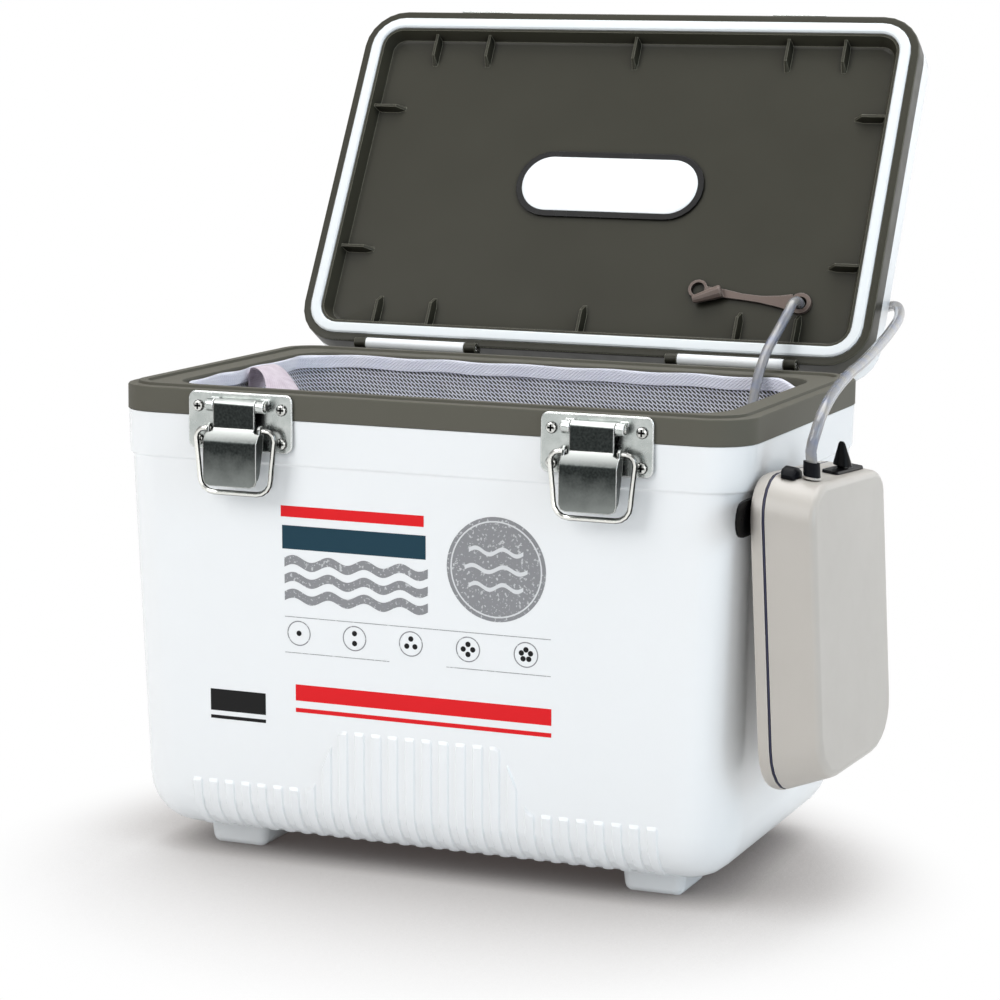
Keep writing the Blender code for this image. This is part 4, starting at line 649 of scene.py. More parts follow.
# Glossy black polypropylene for the switch and the hanger
BLACK_PLASTIC = MouldedPlastic("black_polypropylene", "050506", 0.30, ior=1.49, shade="030304", shine=0.08)
# Moulded EPDM: black with a grey bloom
BLACK_RUBBER = MouldedPlastic("black_epdm_rubber", "06070b", 0.45, ior=1.52, shade="0b0d14", shine=0.1)
# Thermoplastic rubber in grey-brown: the grommet with its stopper, with painted shade in hollows and a
# painted highlight on edges
BROWN_RUBBER = MouldedPlastic("brown_thermoplastic_rubber", "64564f", 0.42, ior=1.5, shade="6f615a",
                              painted_shade="2c211f", shine=0.3, painted_edge_highlight="9a8f88")
# Soft PVC drawn through a die: cloudy grey, and bright where its skin catches the light
HOSE = ClearTube("soft_clear_pvc", "a0a8bd", 0.16, ior=1.53, haze="bbb7ad")
# Anodised plate lacquered white, with a black enamel edge
PLATE_WHITE = MouldedPlastic("white_lacquer", "eef2f4", 0.22, ior=1.52, grain_mm=1.2, grain_depth_mm=0.004)
BLACK_ENAMEL = MouldedPlastic("black_enamel", "09090a", 0.25, ior=1.52, grain_mm=1.2, grain_depth_mm=0.003,
                              shine=0.3)
# Sintered grit: a rough blue stone, dark in its pores
STONE = GranularBody("sintered_air_stone", "6f93bd", 0.95, shade="3a5680")
# Heat-shrunk PVC on a dry cell: glossy dark grey
CELL_JACKET = MouldedPlastic("pvc_shrink_jacket", "34363a", 0.28, ior=1.53)
# Thin nickel-plated strip: yellowish and bright
CONTACT = SteelSheet("nickel_plated_strip", "cfc7b0", 0.28, 1.0, dull="b8ae92")
# Deep-drawn zinc-plated can: bluish grey with fine rings round it
MOTOR_CAN = SteelSheet("zinc_plated_can", "b9bcc0", 0.32, 1.0, dull="9ea2a6", streak=(1.0, 14.0, 1.0))
# Inks screened on the white front: flat, dull, and in the grey thin enough to speckle
INK_TEAL = ScreenInk("teal_screen_ink", "0f3848", 0.46)
INK_RED = ScreenInk("red_screen_ink", "e0101a", 0.46)
INK_GREY = ScreenInk("grey_screen_ink", "8b8c8f", 0.48, wear_and_highlight="d6d8da", wear=0.7)
INK_BLACK = ScreenInk("black_screen_ink", "0a0a0b", 0.46)
INK_PALE = ScreenInk("pale_screen_ink", "d8dadc", 0.42)


# Meshes


@dataclass
class Skin:
    """Points and faces of a mesh in the making; faces may carry map places in metres."""

    points: list[Vector] = field(default_factory=list)
    faces: list[tuple[int, ...]] = field(default_factory=list)
    maps: list[list[Pair]] = field(default_factory=list)

    def rows(self, rings: Sequence[Sequence[Vector]], closed: bool = True, looped: bool = False,
             capped: bool = False, spans: Sequence[Sequence[Pair]] | None = None,
             period: float = 0.0) -> Skin:
        """Skin equal rows of points.

        Args:
            rings: The rows.
            closed: Whether each row closes on itself.
            looped: Whether the last row joins the first.
            capped: Whether the first and last rows are filled.
            spans: Map place of each point.
            period: Length once round a closed row, added to the map past its end.

        Returns:
            This skin.
        """
        start = len(self.points)
        size = len(rings[0])
        for ring in rings:
            self.points += [Vector(point) for point in ring]
        pairs = [(row, row + 1) for row in range(len(rings) - 1)]
        if looped:
            pairs.append((len(rings) - 1, 0))
        for near, far in pairs:
            for index in range(size if closed else size - 1):
                after = (index + 1) % size
                self.faces.append((start + near * size + index, start + near * size + after,
                                   start + far * size + after, start + far * size + index))
                if spans:
                    wrap = period if after == 0 else 0.0
                    corners = [spans[near][index], spans[near][after], spans[far][after], spans[far][index]]
                    self.maps.append([(u + (wrap if turn in (1, 2) else 0.0), v)
                                      for turn, (u, v) in enumerate(corners)])
        if capped:
            for row in (0, len(rings) - 1):
                self.faces.append(tuple(start + row * size + index for index in range(size)))
                if spans:
                    self.maps.append([spans[row][index] for index in range(size)])
        return self

    def face(self, outline: Sequence[Vector]) -> Skin:
        """Add one flat face on its own points.

        Args:
            outline: The points round it.

        Returns:
            This skin.
        """
        start = len(self.points)
        self.points += [Vector(point) for point in outline]
        self.faces.append(tuple(range(start, start + len(outline))))
        return self

    def piece(self, name: str, finish: Finish, body: str, slot: str, replaces: Sequence[str] = (),
              sharp: float = 34.0) -> bpy.types.Object:
        """Turn the skin into a finished piece that rides on a body.

        Args:
            name: Name of the piece.
            finish: What it is made of.
            body: The body that it rides on, or nothing for a piece that rides on none.
            slot: Not used.
            replaces: Solids that it stands for.
            sharp: Angle in degrees from which an edge stays hard.

        Returns:
            The new object.
        """
        mesh = bpy.data.meshes.new(name)
        mesh.from_pydata([tuple(point) for point in self.points], [], self.faces)
        if self.maps:
            layer = mesh.uv_layers.new(name="UVMap")
            flat = [value for corners in self.maps for pair in corners for value in pair]
            layer.data.foreach_set("uv", flat)
        mesh.update()
        made = bpy.data.objects.new(name, mesh)
        bpy.context.scene.collection.objects.link(made)
        tidy_normals(made)
        mesh.shade_smooth()
        mesh.set_sharp_from_angle(angle=math.radians(sharp))
        mesh.materials.append(finish.material())
        if body:
            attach(made, body)
        if replaces:
            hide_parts(*replaces)
        LOG.info("piece %s on %s, %d faces", name, body or "two bodies", len(mesh.polygons))
        return made


def tidy_normals(item: bpy.types.Object, doubled: float = 0.000002) -> None:
    """Merge doubled points and turn every face of a new mesh outwards.

    Args:
        item: The object of the mesh.
        doubled: Distance below which two points are one.
    """
    shell = bmesh.new()
    shell.from_mesh(item.data)
    bmesh.ops.remove_doubles(shell, verts=shell.verts, dist=doubled)
    bmesh.ops.recalc_face_normals(shell, faces=shell.faces)
    shell.to_mesh(item.data)
    shell.free()


def rounded_outline(half_x: float, half_y: float, radius: float,
                    count: int) -> list[tuple[Vector, Vector, float]]:
    """Even points round a rounded rectangle.

    Args:
        half_x: Half its width in metres.
        half_y: Half its depth.
        radius: Its corner radius.
        count: How many points.

    Returns:
        Each point, the direction straight out there, and its distance along the outline.
    """
    radius = max(min(radius, half_x, half_y), 1e-5)
    straights = (half_y - radius, half_x - radius)
    legs: list[tuple[float, Callable[[float], tuple[Vector, Vector]]]] = []
    for quarter in range(4):
        turn = Matrix.Rotation(math.pi / 2 * quarter, 3, "Z")
        out = turn @ Vector((1, 0, 0))
        side = turn @ Vector((0, 1, 0))
        reach = half_x if quarter % 2 == 0 else half_y
        run = straights[quarter % 2]
        legs.append((2 * run, lambda s, o=out, e=side, r=reach, h=run: (o * r + e * (s - h), o.copy())))
        middle = out * (reach - radius) + side * run
        legs.append((math.pi / 2 * radius, lambda s, o=out, e=side, m=middle: (
            m + (o * math.cos(s / radius) + e * math.sin(s / radius)) * radius,
            o * math.cos(s / radius) + e * math.sin(s / radius))))
    total = sum(length for length, _ in legs)
    found = []
    for index in range(count):
        want = total * index / count
        walked = want
        for length, leg in legs:
            if walked <= length:
                spot, out = leg(walked)
                found.append((spot, out, want))
                break
            walked -= length
    return found


def rounded_corners(half_x: float, half_z: float, radius: float, steps: int) -> list[Pair]:
    """Outline of a rounded rectangle from its corner arcs.

    Args:
        half_x: Half its width.
        half_z: Half its height.
        radius: Its corner radius.
        steps: Steps in each corner.

    Returns:
        The outline, anticlockwise from the upper right corner.
    """
    outline = []
    for index, (side_x, side_z) in enumerate(((1, 1), (-1, 1), (-1, -1), (1, -1))):
        for step in range(steps + 1):
            angle = math.pi / 2 * (index + step / steps)
            outline.append((side_x * (half_x - radius) + radius * math.cos(angle),
                            side_z * (half_z - radius) + radius * math.sin(angle)))
    return outline


def smooth_line(points: Sequence[Vector], spacing: float, parts: int = 24) -> list[Vector]:
    """Points at an even spacing along a smooth curve through the given ones.

    Args:
        points: Points that the curve goes through.
        spacing: Distance between two results, in metres.
        parts: Straight parts that the curve is measured by from one given point to the next.

    Returns:
        The points along the curve.
    """
    ends = [2 * points[0] - points[1], *points, 2 * points[-1] - points[-2]]
    fine = []
    for a, b, c, d in zip(ends, ends[1:], ends[2:], ends[3:]):
        for step in range(parts):
            t = step / parts
            fine.append(0.5 * (2 * b + (c - a) * t + (2 * a - 5 * b + 4 * c - d) * t * t
                               + (3 * b - a - 3 * c + d) * t ** 3))
    fine.append(points[-1])
    length = sum((q - p).length for p, q in zip(fine, fine[1:]))
    count = round(length / spacing)
    line = [fine[0]]
    walked = 0.0
    for p, q in zip(fine, fine[1:]):
        step = (q - p).length
        while len(line) < count and walked + step >= len(line) * length / count:
            line.append(p.lerp(q, (len(line) * length / count - walked) / max(step, 1e-12)))
        walked += step
    line.append(fine[-1])
    return line


def tube_rings(line: Sequence[Vector], radius: float, steps: int) -> list[list[Vector]]:
    """Rings round a line, turned as little as possible from one to the next.

    Args:
        line: The centreline.
        radius: Radius of the rings.
        steps: Points in a ring.

    Returns:
        The rings.
    """
    rings = []
    side: Vector | None = None
    for index, spot in enumerate(line):
        tangent = (line[min(index + 1, len(line) - 1)] - line[max(index - 1, 0)]).normalized()
        side = tangent.orthogonal() if side is None else side
        side = (side - tangent * side.dot(tangent)).normalized()
        upright = tangent.cross(side)
        rings.append([spot + (side * math.cos(2 * math.pi * step / steps)
                              + upright * math.sin(2 * math.pi * step / steps)) * radius
                      for step in range(steps)])
    return rings


class Dresser:
    """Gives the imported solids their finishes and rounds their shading."""

    # Edges steeper than this stay hard, and points nearer than this are one
    HARD = math.radians(30)
    WELD = 0.00001

    def __init__(self, nodes: dict[str, bpy.types.Object]) -> None:
        """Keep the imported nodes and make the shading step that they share."""
        self.nodes = nodes
        self.shading = self.shading_group()

    def shading_group(self) -> bpy.types.NodeTree:
        """Geometry step that smooths every face and keeps steep edges hard.

        Returns:
            The node group.
        """
        group = bpy.data.node_groups.new("soft_faces_hard_edges", "GeometryNodeTree")
        for way in ("INPUT", "OUTPUT"):
            group.interface.new_socket("Geometry", in_out=way, socket_type="NodeSocketGeometry")
        start = add(group, "NodeGroupInput")
        plain = add(group, "GeometryNodeRemoveAttribute", {0: start.outputs[0], "Name": "custom_normal"})
        soft = add(group, "GeometryNodeSetShadeSmooth", {0: plain.outputs[0], "Shade Smooth": True})
        angle = add(group, "GeometryNodeInputMeshEdgeAngle").outputs["Unsigned Angle"]
        steep = add(group, "FunctionNodeCompare", {0: angle, 1: self.HARD}, operation="GREATER_THAN")
        hard = add(group, "GeometryNodeSetShadeSmooth", {0: soft.outputs[0], "Selection": steep.outputs[0],
                                                         "Shade Smooth": False}, domain="EDGE")
        add(group, "NodeGroupOutput", {0: hard.outputs[0]})
        return group

    def dress(self, name: str, finish: Finish) -> None:
        """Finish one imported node.

        Args:
            name: The node.
            finish: What it is made of.
        """
        item = self.nodes[name]
        item.data.materials.clear()
        item.data.materials.append(finish.material())
        weld = item.modifiers.new("weld", "WELD")
        weld.merge_threshold = self.WELD
        shading = item.modifiers.new("shading", "NODES")
        shading.node_group = self.shading
        weigh = item.modifiers.new("weigh", "WEIGHTED_NORMAL")
        weigh.keep_sharp = True
        LOG.info("node %s in %s", name, finish.name)

    def dress_all(self, finish: Finish, *names: str) -> None:
        """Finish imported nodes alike."""
        for name in names:
            self.dress(name, finish)


class Side(Enum):
    """The two ends of the cooler, seen from its front, by the words in the names of pieces."""

    LEFT = "left"
    RIGHT = "right"

    def screws(self, kind: str, count: int) -> list[str]:
        """Names of the side's screws of a kind, where each side has a number of them."""
        first = 1 if self is Side.LEFT else 1 + count
        return ["%s_screw_%d" % (kind, index) for index in range(first, first + count)]


# Sub-assemblies


@dataclass
class AirLine:
    """Hose from the pump over the lid's back, through the grommet and down to the air stone."""

    radius: float = 0.0025
    bore: float = 0.0015
    spacing: float = 0.0040
    steps: int = 16
    # Millimetres from the middle of the tub, as the source of the part lays it
    route_mm: tuple[Triple, ...] = (
        (175.45, -72.79, 198.34), (175.21, -72.77, 202.33), (174.91, -72.75, 207.32),
        (176.4, -71.6, 214.3), (176.7, -63.5, 221.6), (176.1, -46.0, 228.0), (175.6, -20.0, 233.7),
        (175.3, 8.0, 237.2), (172.4, 45.0, 241.1), (169.0, 78.0, 244.5), (165.0, 108.0, 248.5),
        (155.6, 140.0, 250.3), (146.8, 152.7, 248.6), (137.6, 160.3, 242.9), (126.6, 160.8, 236.8),
        (119.6, 157.4, 234.8), (113.9, 150.7, 235.3),
        (111.8, 142.84, 238.63), (111.8, 130.18, 245.6), (111.8, 118.38, 252.06),
        (111.8, 114.2, 253.3), (111.6, 109.9, 253.1), (111.3, 105.9, 251.6), (111.0, 102.7, 248.8),
        (108.3, 94.0, 239.6), (106.9, 82.2, 231.6), (106.3, 72.8, 222.5), (106.3, 65.6, 213.0),
        (106.4, 59.4, 202.5), (106.2, 51.4, 187.0), (105.0, 44.0, 166.0), (103.5, 33.0, 141.0),
        (101.0, 23.0, 117.0), (97.0, 14.0, 93.0), (91.0, 7.0, 71.0), (81.5, 2.6, 52.5),
        (70.0, 0.5, 41.9), (62.0, 0.0, 40.1), (55.0, 0.0, 40.1))
    # Two places along the hose's way, one in front of the hinge and one behind it
    stays_mm: Triple = (111.8, 28.0, 240.0)
    turns_mm: Triple = (111.8, 134.0, 240.0)

    def build(self, dresser: Dresser) -> None:
        """Hose as a hollow tube, and the finishes of its fittings.

        Args:
            dresser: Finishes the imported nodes.
        """
        line = smooth_line([place(*point) for point in self.route_mm], self.spacing)
        outer, inner = (tube_rings(line, radius, self.steps) for radius in (self.radius, self.bore))
        hose = Skin().rows(outer + inner[::-1], looped=True).piece(
            "clear_air_hose", HOSE, "", "clear_hose", ["air_hose"])
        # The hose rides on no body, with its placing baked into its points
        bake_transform(hose)
        dresser.dress("air_stone", STONE)
        dresser.dress("hose_sleeve", BLACK_RUBBER)


@dataclass
class Tub:
    """Insulated tub: white shell, taupe liner and the foam between, with a plain print on its front."""

    half_width: float = 0.1525
    half_depth: float = 0.0965
    step_height: float = 0.1882
    step_depth: float = 0.0022
    draft: float = math.radians(1.4)
    ink_film: float = 0.00008

    def front(self, x: float, z: float, film: float = 1.0) -> Vector:
        """Point on the drafted front wall.

        Args:
            x: Millimetres to the right of its middle.
            z: Millimetres above the ground.
            film: How many ink films stand off it.

        Returns:
            The point in metres.
        """
        inset = self.step_depth + (self.step_height - z / 1000) * math.tan(self.draft)
        return TUB_MIDDLE + Vector((x / 1000, -(self.half_depth - inset) - self.ink_film * film, z / 1000))

    def bar(self, skin: Skin, left: float, right: float, low: float, high: float) -> None:
        """Add a printed bar."""
        skin.face([self.front(x, z) for x, z in ((left, low), (right, low), (right, high), (left, high))])

    def round(self, x: float, z: float, radius: float, steps: int, film: float = 1.0) -> list[Vector]:
        """Points round a circle on the front wall."""
        turns = [2 * math.pi * step / steps for step in range(steps)]
        return [self.front(x + radius * math.cos(turn), z + radius * math.sin(turn), film) for turn in turns]

    def disc(self, skin: Skin, x: float, z: float, radius: float) -> None:
        """Add a printed disc."""
        skin.face(self.round(x, z, radius, 64))

    def hoop(self, skin: Skin, x: float, z: float, radius: float, width: float, film: float = 1.0) -> None:
        """Add a printed hoop of a line's width."""
        skin.rows([self.round(x, z, reach, 48, film) for reach in (radius - width / 2, radius + width / 2)])

    def wave(self, skin: Skin, left: float, right: float, z: float, height: float, width: float,
             film: float = 1.0, turns: float = 4.0) -> None:
        """Add a printed wavy line.

        Args:
            skin: The print that it joins.
            left: Where it starts, as in front.
            right: Where it ends.
            z: Height of its middle.
            height: How far it swings up and down.
            width: Its thickness.
            film: How many ink films stand off the wall.
            turns: How many waves it has.
        """
        rows = []
        steps = 96
        for step in range(steps + 1):
            x = left + (right - left) * step / steps
            middle = z + height * math.sin(2 * math.pi * turns * step / steps)
            rows.append([self.front(x, middle - width / 2, film), self.front(x, middle + width / 2, film)])
        skin.rows(rows, closed=False)

    def print_front(self) -> None:
        """Plain bars, waves, bubbles and hoops in the colours of a printed front."""
        teal, grey, red, black, pale = (Skin() for _ in range(5))
        for row in range(3):
            self.wave(grey, -66.0, 5.0, 143.2 - 7.8 * row, 1.5, 4.2)
        self.disc(grey, 37.9, 147.6, 23.7)
        self.hoop(pale, 37.9, 147.6, 21.6, 0.7, 2.0)
        for row in range(3):
            reach = 15.0 - 2.0 * abs(row - 1)
            self.wave(pale, 37.9 - reach, 37.9 + reach, 155.6 - 8.0 * row, 1.3, 1.9, 2.0, 2.0)
        for index in range(5):
            x, z = -59.0 + 27.8 * index, 110.6 - 0.1 * index
            self.hoop(grey, x, z, 5.6, 0.5)
            reach = 2.3 if index else 0.0
            for dot in range(index + 1):
                angle = 2 * math.pi * dot / (index + 1) + math.pi / 2
                self.disc(black, x + reach * math.cos(angle), z + reach * math.sin(angle), 1.25)
        for skin, left, right, low, high in (
                (teal, -67.0, 4.0, 149.5, 160.4), (red, -67.6, 3.1, 164.3, 169.4),
                (grey, -66.0, 64.0, 117.9, 118.2), (grey, -66.0, -14.0, 101.2, 101.5),
                (grey, 14.0, 64.0, 101.2, 101.5), (red, -61.0, 64.4, 79.0, 86.6),
                (red, -61.0, 64.4, 73.6, 75.6), (black, -104.6, -76.3, 70.6, 80.8),
                (black, -104.6, -76.3, 66.8, 68.4)):
            self.bar(skin, left, right, low, high)
        for name, skin, ink in (("teal_print", teal, INK_TEAL), ("grey_print", grey, INK_GREY),
                                ("red_print", red, INK_RED), ("black_print", black, INK_BLACK),
                                ("pale_print", pale, INK_PALE)):
            skin.piece(name, ink, "tub", "white_polyethylene")

    def build(self, dresser: Dresser) -> None:
        """Finish the moulded walls and print the front.

        Args:
            dresser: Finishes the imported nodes.
        """
        dresser.dress("tub_shell", WHITE_PE)
        dresser.dress("tub_liner", TAUPE_PE)
        dresser.dress("tub_foam", FOAM)
        self.print_front()


@dataclass
class Net:
    """Knitted net that hangs in the tub from a webbing hem, with a strap to lift it by."""

    half_width: float = Tub.half_width
    half_depth: float = Tub.half_depth
    rim_height: float = 0.2205
    wall: float = 0.0190
    draft: float = math.radians(2.0)
    # Corner radius of the cavity at the rim, and how much it shrinks for each metre down
    corner: float = 0.0200
    tightening: float = 0.03
    fillet: float = 0.0090
    floor: float = 0.0322
    # The cloth hangs this far off the wall, and is sewn to the hem at the seam's height
    gap: float = 0.0012
    seam: float = 0.2135
    # Points round each level line of the bag, and its lines down the wall, round the fillet and inward
    around: int = 320
    wall_lines: int = 26
    fillet_lines: int = 5
    floor_lines: int = 12
    # Lengths of the broad and the fine folds round the net
    fold: float = 0.047
    fine_fold: float = 0.0171
    strap_width: float = 0.0180
    strap_thickness: float = 0.0012
    strap_steps: int = 24

    def inset(self, z: float) -> float:
        """How far the cavity's wall stands in from the rim at a height."""
        return self.wall + (self.rim_height - z) * math.tan(self.draft)

    def ring(self, inset: float, z: float, sway: Callable[[float, Vector], float],
             lift: Callable[[float, Vector], float] | None = None) -> tuple[list[Vector], list[float], float]:
        """One level line of the net.

        Args:
            inset: Distance in from the rim's outline.
            z: Height.
            sway: How far the cloth stands further in, from the distance round and the way out.
            lift: How far it stands up, from the same.

        Returns:
            The points, their distances round, and the whole length round.
        """
        radius = self.corner - (self.rim_height - z) * self.tightening
        spots = rounded_outline(self.half_width - inset, self.half_depth - inset, radius, self.around)
        points = []
        for spot, out, walked in spots:
            up = lift(walked, out) if lift else 0.0
            points.append(TUB_MIDDLE + spot - out * sway(walked, out) + Vector((0, 0, z + up)))
        length = spots[-1][2] * self.around / (self.around - 1)
        return points, [walked for _, _, walked in spots], length

    def folds(self, share: float) -> Callable[[float, Vector], float]:
        """Soft upright folds of the hanging wall.

        Args:
            share: Place down the wall, from 0 at the hem to 1 at the floor.

        Returns:
            The distance in, as a function of the distance round and the way out.
        """
        belly = math.sin(math.pi * min(share * 1.05, 1.0)) ** 0.8

        def stand(walked: float, out: Vector) -> float:
            """Distance in at one place."""
            turned = abs(out.x * out.y) * 2
            wave = math.sin(walked * 2 * math.pi / self.fold + 1.3 * math.sin(walked * 21.0))
            fine = math.sin(walked * 2 * math.pi / self.fine_fold + 2.0 * math.sin(walked * 9.0)
                            + 5.0 * share)
            return belly * (0.0022 + 0.0013 * wave + 0.0005 * fine + 0.0045 * turned) + 0.0002

        return stand

    def bag(self) -> bpy.types.Object:
        """Net wall and floor as one cloth.

        Returns:
            The bag.
        """
        rows: list[list[Vector]] = []
        spans: list[list[Pair]] = []
        down = 0.0
        period = 0.0
        centre = self.floor + self.fillet
        # Inset, height and share of each line: a share up to 1 goes down the wall, and more in over the floor
        stations: list[Triple] = []
        for step in range(self.wall_lines + 1):
            z = self.seam + 0.003 + (centre - self.seam - 0.003) * step / self.wall_lines
            stations.append((self.inset(z) + self.gap, z, step / self.wall_lines * 0.93))
        for step in range(1, self.fillet_lines + 1):
            angle = math.pi / 2 * step / self.fillet_lines
            stations.append((self.inset(centre) + self.gap + self.fillet * (1 - math.cos(angle)),
                             centre - self.fillet * math.sin(angle), 0.93 + 0.07 * step / self.fillet_lines))
        last = stations[-1][0]
        for step in range(1, self.floor_lines + 1):
            stations.append((last + (self.half_depth - last - 0.0015) * step / self.floor_lines, self.floor,
                             1.0 + step))
        before: Pair | None = None
        for inset, z, share in stations:
            if share <= 1.0:
                points, walked, length = self.ring(inset, z, self.folds(share))
            else:
                points, walked, length = self.ring(inset, z, lambda s, out: 0.0, self.crease(share))
            if before:
                down += math.hypot(inset - before[0], z - before[1])
            else:
                period = length
            before = (inset, z)
            rows.append(points)
            spans.append([(s * period / length, down) for s in walked])
        skin = Skin().rows(rows, spans=spans, period=period)
        skin.face(rows[-1])
        skin.maps.append([(0.0, 0.0)] * self.around)
        return skin.piece("net_bag_cloth", NET, "tub", "net_mesh", ["net_bag"], sharp=80)

    def crease(self, share: float) -> Callable[[float, Vector], float]:
        """Low creases of the net where it lies on the floor.

        Args:
            share: Number of the level line.

        Returns:
            How far it stands up, as a function of the distance round and the way out.
        """

        def stand(walked: float, out: Vector) -> float:
            """Height at one place."""
            return 0.0004 + 0.0004 * math.sin(walked * 90.0 + share * 1.7) * math.sin(share * 2.1)

        return stand

    def hem(self) -> bpy.types.Object:
        """Folded tape round the top of the net, slack at its right and front.

        Returns:
            The hem.
        """

        def pucker(walked: float, out: Vector) -> float:
            """How far the sewing draws it in."""
            return 0.0003 + 0.0004 * (1 + math.sin(walked * 2 * math.pi / 0.031 + 2 * math.sin(walked * 17)))

        def ripple(walked: float, out: Vector) -> float:
            """How far it stands up or hangs slack."""
            slack = max(0.0, min(1.0, max(out.x, -out.y) * 1.6 - 0.4))
            return 0.0003 * math.sin(walked * 2 * math.pi / 0.043) - 0.0003 - 0.0036 * slack

        # Distance in and height of the folded section
        section = [(0.0, 0.0), (0.0, 0.0018), (0.0, 0.0036), (0.0, 0.0050), (0.0001, 0.0057),
                   (0.0005, 0.0062), (0.0009, 0.0062), (0.0013, 0.0057), (0.0014, 0.0050), (0.0014, 0.0036),
                   (0.0014, 0.0018), (0.0014, 0.0), (0.0007, -0.0002)]
        rows, spans = [], []
        period = 0.0
        for across, up in section:
            inset = self.inset(self.seam) + self.gap + across
            points, walked, period = self.ring(inset, self.seam + up, pucker, ripple)
            rows.append(points)
            spans.append([(s, up) for s in walked])
        skin = Skin().rows(rows, looped=True, spans=spans, period=period)
        return skin.piece("net_hem_tape", HEM, "tub", "net_webbing", ["net_hem"], sharp=60)

    def strap(self) -> bpy.types.Object:
        """Flat strap from the hem's left side over to its front.

        Returns:
            The strap.
        """
        # In from the wall: the hem's gap and thickness, half the strap and a little play
        reach = 0.0010 + 0.0016 + self.inset(self.seam) + self.strap_thickness / 2 + 0.0004
        corner = TUB_MIDDLE + Vector((reach - self.half_width, reach - self.half_depth, self.rim_height))
        # Millimetres from that corner, and the degrees by which its width is turned
        offsets = ((0.2, 80.5, -12.0, 90), (0.3, 80.4, -6.5, 90), (1.3, 80.2, -2.6, 90),
                   (4.6, 79.4, -1.0, 86), (10.0, 76.4, -1.8, 72), (17.0, 70.4, -5.0, 55),
                   (24.0, 61.5, -9.6, 40), (30.5, 48.5, -15.0, 29), (36.0, 32.5, -20.2, 19),
                   (39.6, 16.0, -25.0, 9), (41.2, 4.6, -29.0, 2), (41.5, 1.4, -34.0, 0))
        line = smooth_line([corner + Vector((x, y, z)) / 1000 for x, y, z, _ in offsets], 0.0016)
        rows, spans = [], []
        walked = 0.0
        for index, spot in enumerate(line):
            share = index / (len(line) - 1) * (len(offsets) - 1)
            whole = min(int(share), len(offsets) - 2)
            here, after = offsets[whole][3], offsets[whole + 1][3]
            turn = math.radians(here + (after - here) * (share - whole))
            tangent = (line[min(index + 1, len(line) - 1)] - line[max(index - 1, 0)]).normalized()
            width = Vector((math.cos(turn), math.sin(turn), 0))
            width = (width - tangent * width.dot(tangent)).normalized()
            normal = tangent.cross(width)
            if index:
                walked += (spot - line[index - 1]).length
            ring, span = [], []
            # A flat section, thinner at its edges and crowned in the middle
            for step in range(self.strap_steps):
                angle = 2 * math.pi * step / self.strap_steps
                flat = max(-1.0, min(1.0, 1.12 * math.cos(angle)))
                thick = math.sin(angle) * (1.0 if abs(flat) < 0.98 else 0.8)
                crown = 0.0004 * math.cos(math.pi * flat / 2)
                ring.append(spot + width * flat * self.strap_width / 2
                            + normal * (thick * self.strap_thickness / 2 + crown))
                span.append((walked, (flat + 1) / 2 * self.strap_width))
            rows.append(ring)
            spans.append(span)
        skin = Skin().rows(rows, capped=True, spans=spans)
        return skin.piece("net_lifting_strap", STRAP, "tub", "net_webbing", ["net_strap"], sharp=60)

    def build(self) -> None:
        bag, hem, strap = self.bag(), self.hem(), self.strap()


@dataclass
class Lid:
    """Lid with its inner cover, seal, plate and grommet."""

    plate_half: Pair = (47.5, 15.25)
    open_angle: float = math.radians(119.84)

    def build(self, dresser: Dresser) -> None:
        """Finish the lid's solids.

        Args:
            dresser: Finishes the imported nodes.
        """
        dresser.dress("lid_shell", WHITE_PE)
        # The cover takes the taupe darkened as painted shade
        dresser.dress("lid_liner", SHADED_TAUPE_PE)
        dresser.dress("lid_foam", FOAM)
        dresser.dress("lid_gasket", GASKET)
        dresser.dress("lid_plate", BLACK_ENAMEL)
        dresser.dress("hose_grommet", BROWN_RUBBER)
        self.face()

    def face(self) -> None:
        """White face of the plate inside its black border."""
        low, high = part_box("lid_plate")
        middle = (low + high) / 2
        along = Vector((0, math.cos(self.open_angle), -math.sin(self.open_angle)))
        out = Vector((0, -math.sin(self.open_angle), -math.cos(self.open_angle)))
        rings = []
        # Millimetres in from the edge of the face and up from the plate
        for inset, rise in ((0.0, 0.0), (0.0, 0.55), (0.5, 0.75), (2.0, 0.80)):
            half_x, half_y = self.plate_half[0] - inset, self.plate_half[1] - inset
            rings.append([middle + (Vector((u, 0, 0)) + along * v + out * rise) / 1000
                          for u, v in rounded_corners(half_x, half_y, half_y - 0.2, 12)])
        skin = Skin().rows(rings).face(rings[-1])
        skin.piece("lid_plate_face", PLATE_WHITE, "lid", "plate_white")


@dataclass
class Latch:
    """Draw latch of pressed steel, on one side."""

    side: Side

    def build(self, dresser: Dresser) -> None:
        """Finish the latch's solids.

        Args:
            dresser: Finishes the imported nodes.
        """
        word = self.side.value
        dresser.dress_all(PRESSED_STEEL, "latch_plate_" + word, "keeper_" + word)
        dresser.dress("latch_lever_" + word, LEVER_STEEL_PAINTED_DARK)
        dresser.dress_all(DRAWN_STEEL, "latch_pin_" + word, "latch_bail_" + word)
        dresser.dress_all(SCREW_STEEL, *self.side.screws("latch", 4))


@dataclass
class Hinge:
    """Lid hinge at the back, on one side."""

    side: Side

    def build(self, dresser: Dresser) -> None:
        """Finish the hinge's solids.

        Args:
            dresser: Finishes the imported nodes.
        """
        word = self.side.value
        dresser.dress("hinge_block_" + word, WHITE_PE)
        dresser.dress("hinge_pin_" + word, DRAWN_STEEL)
        dresser.dress_all(SCREW_STEEL, *self.side.screws("hinge", 2))


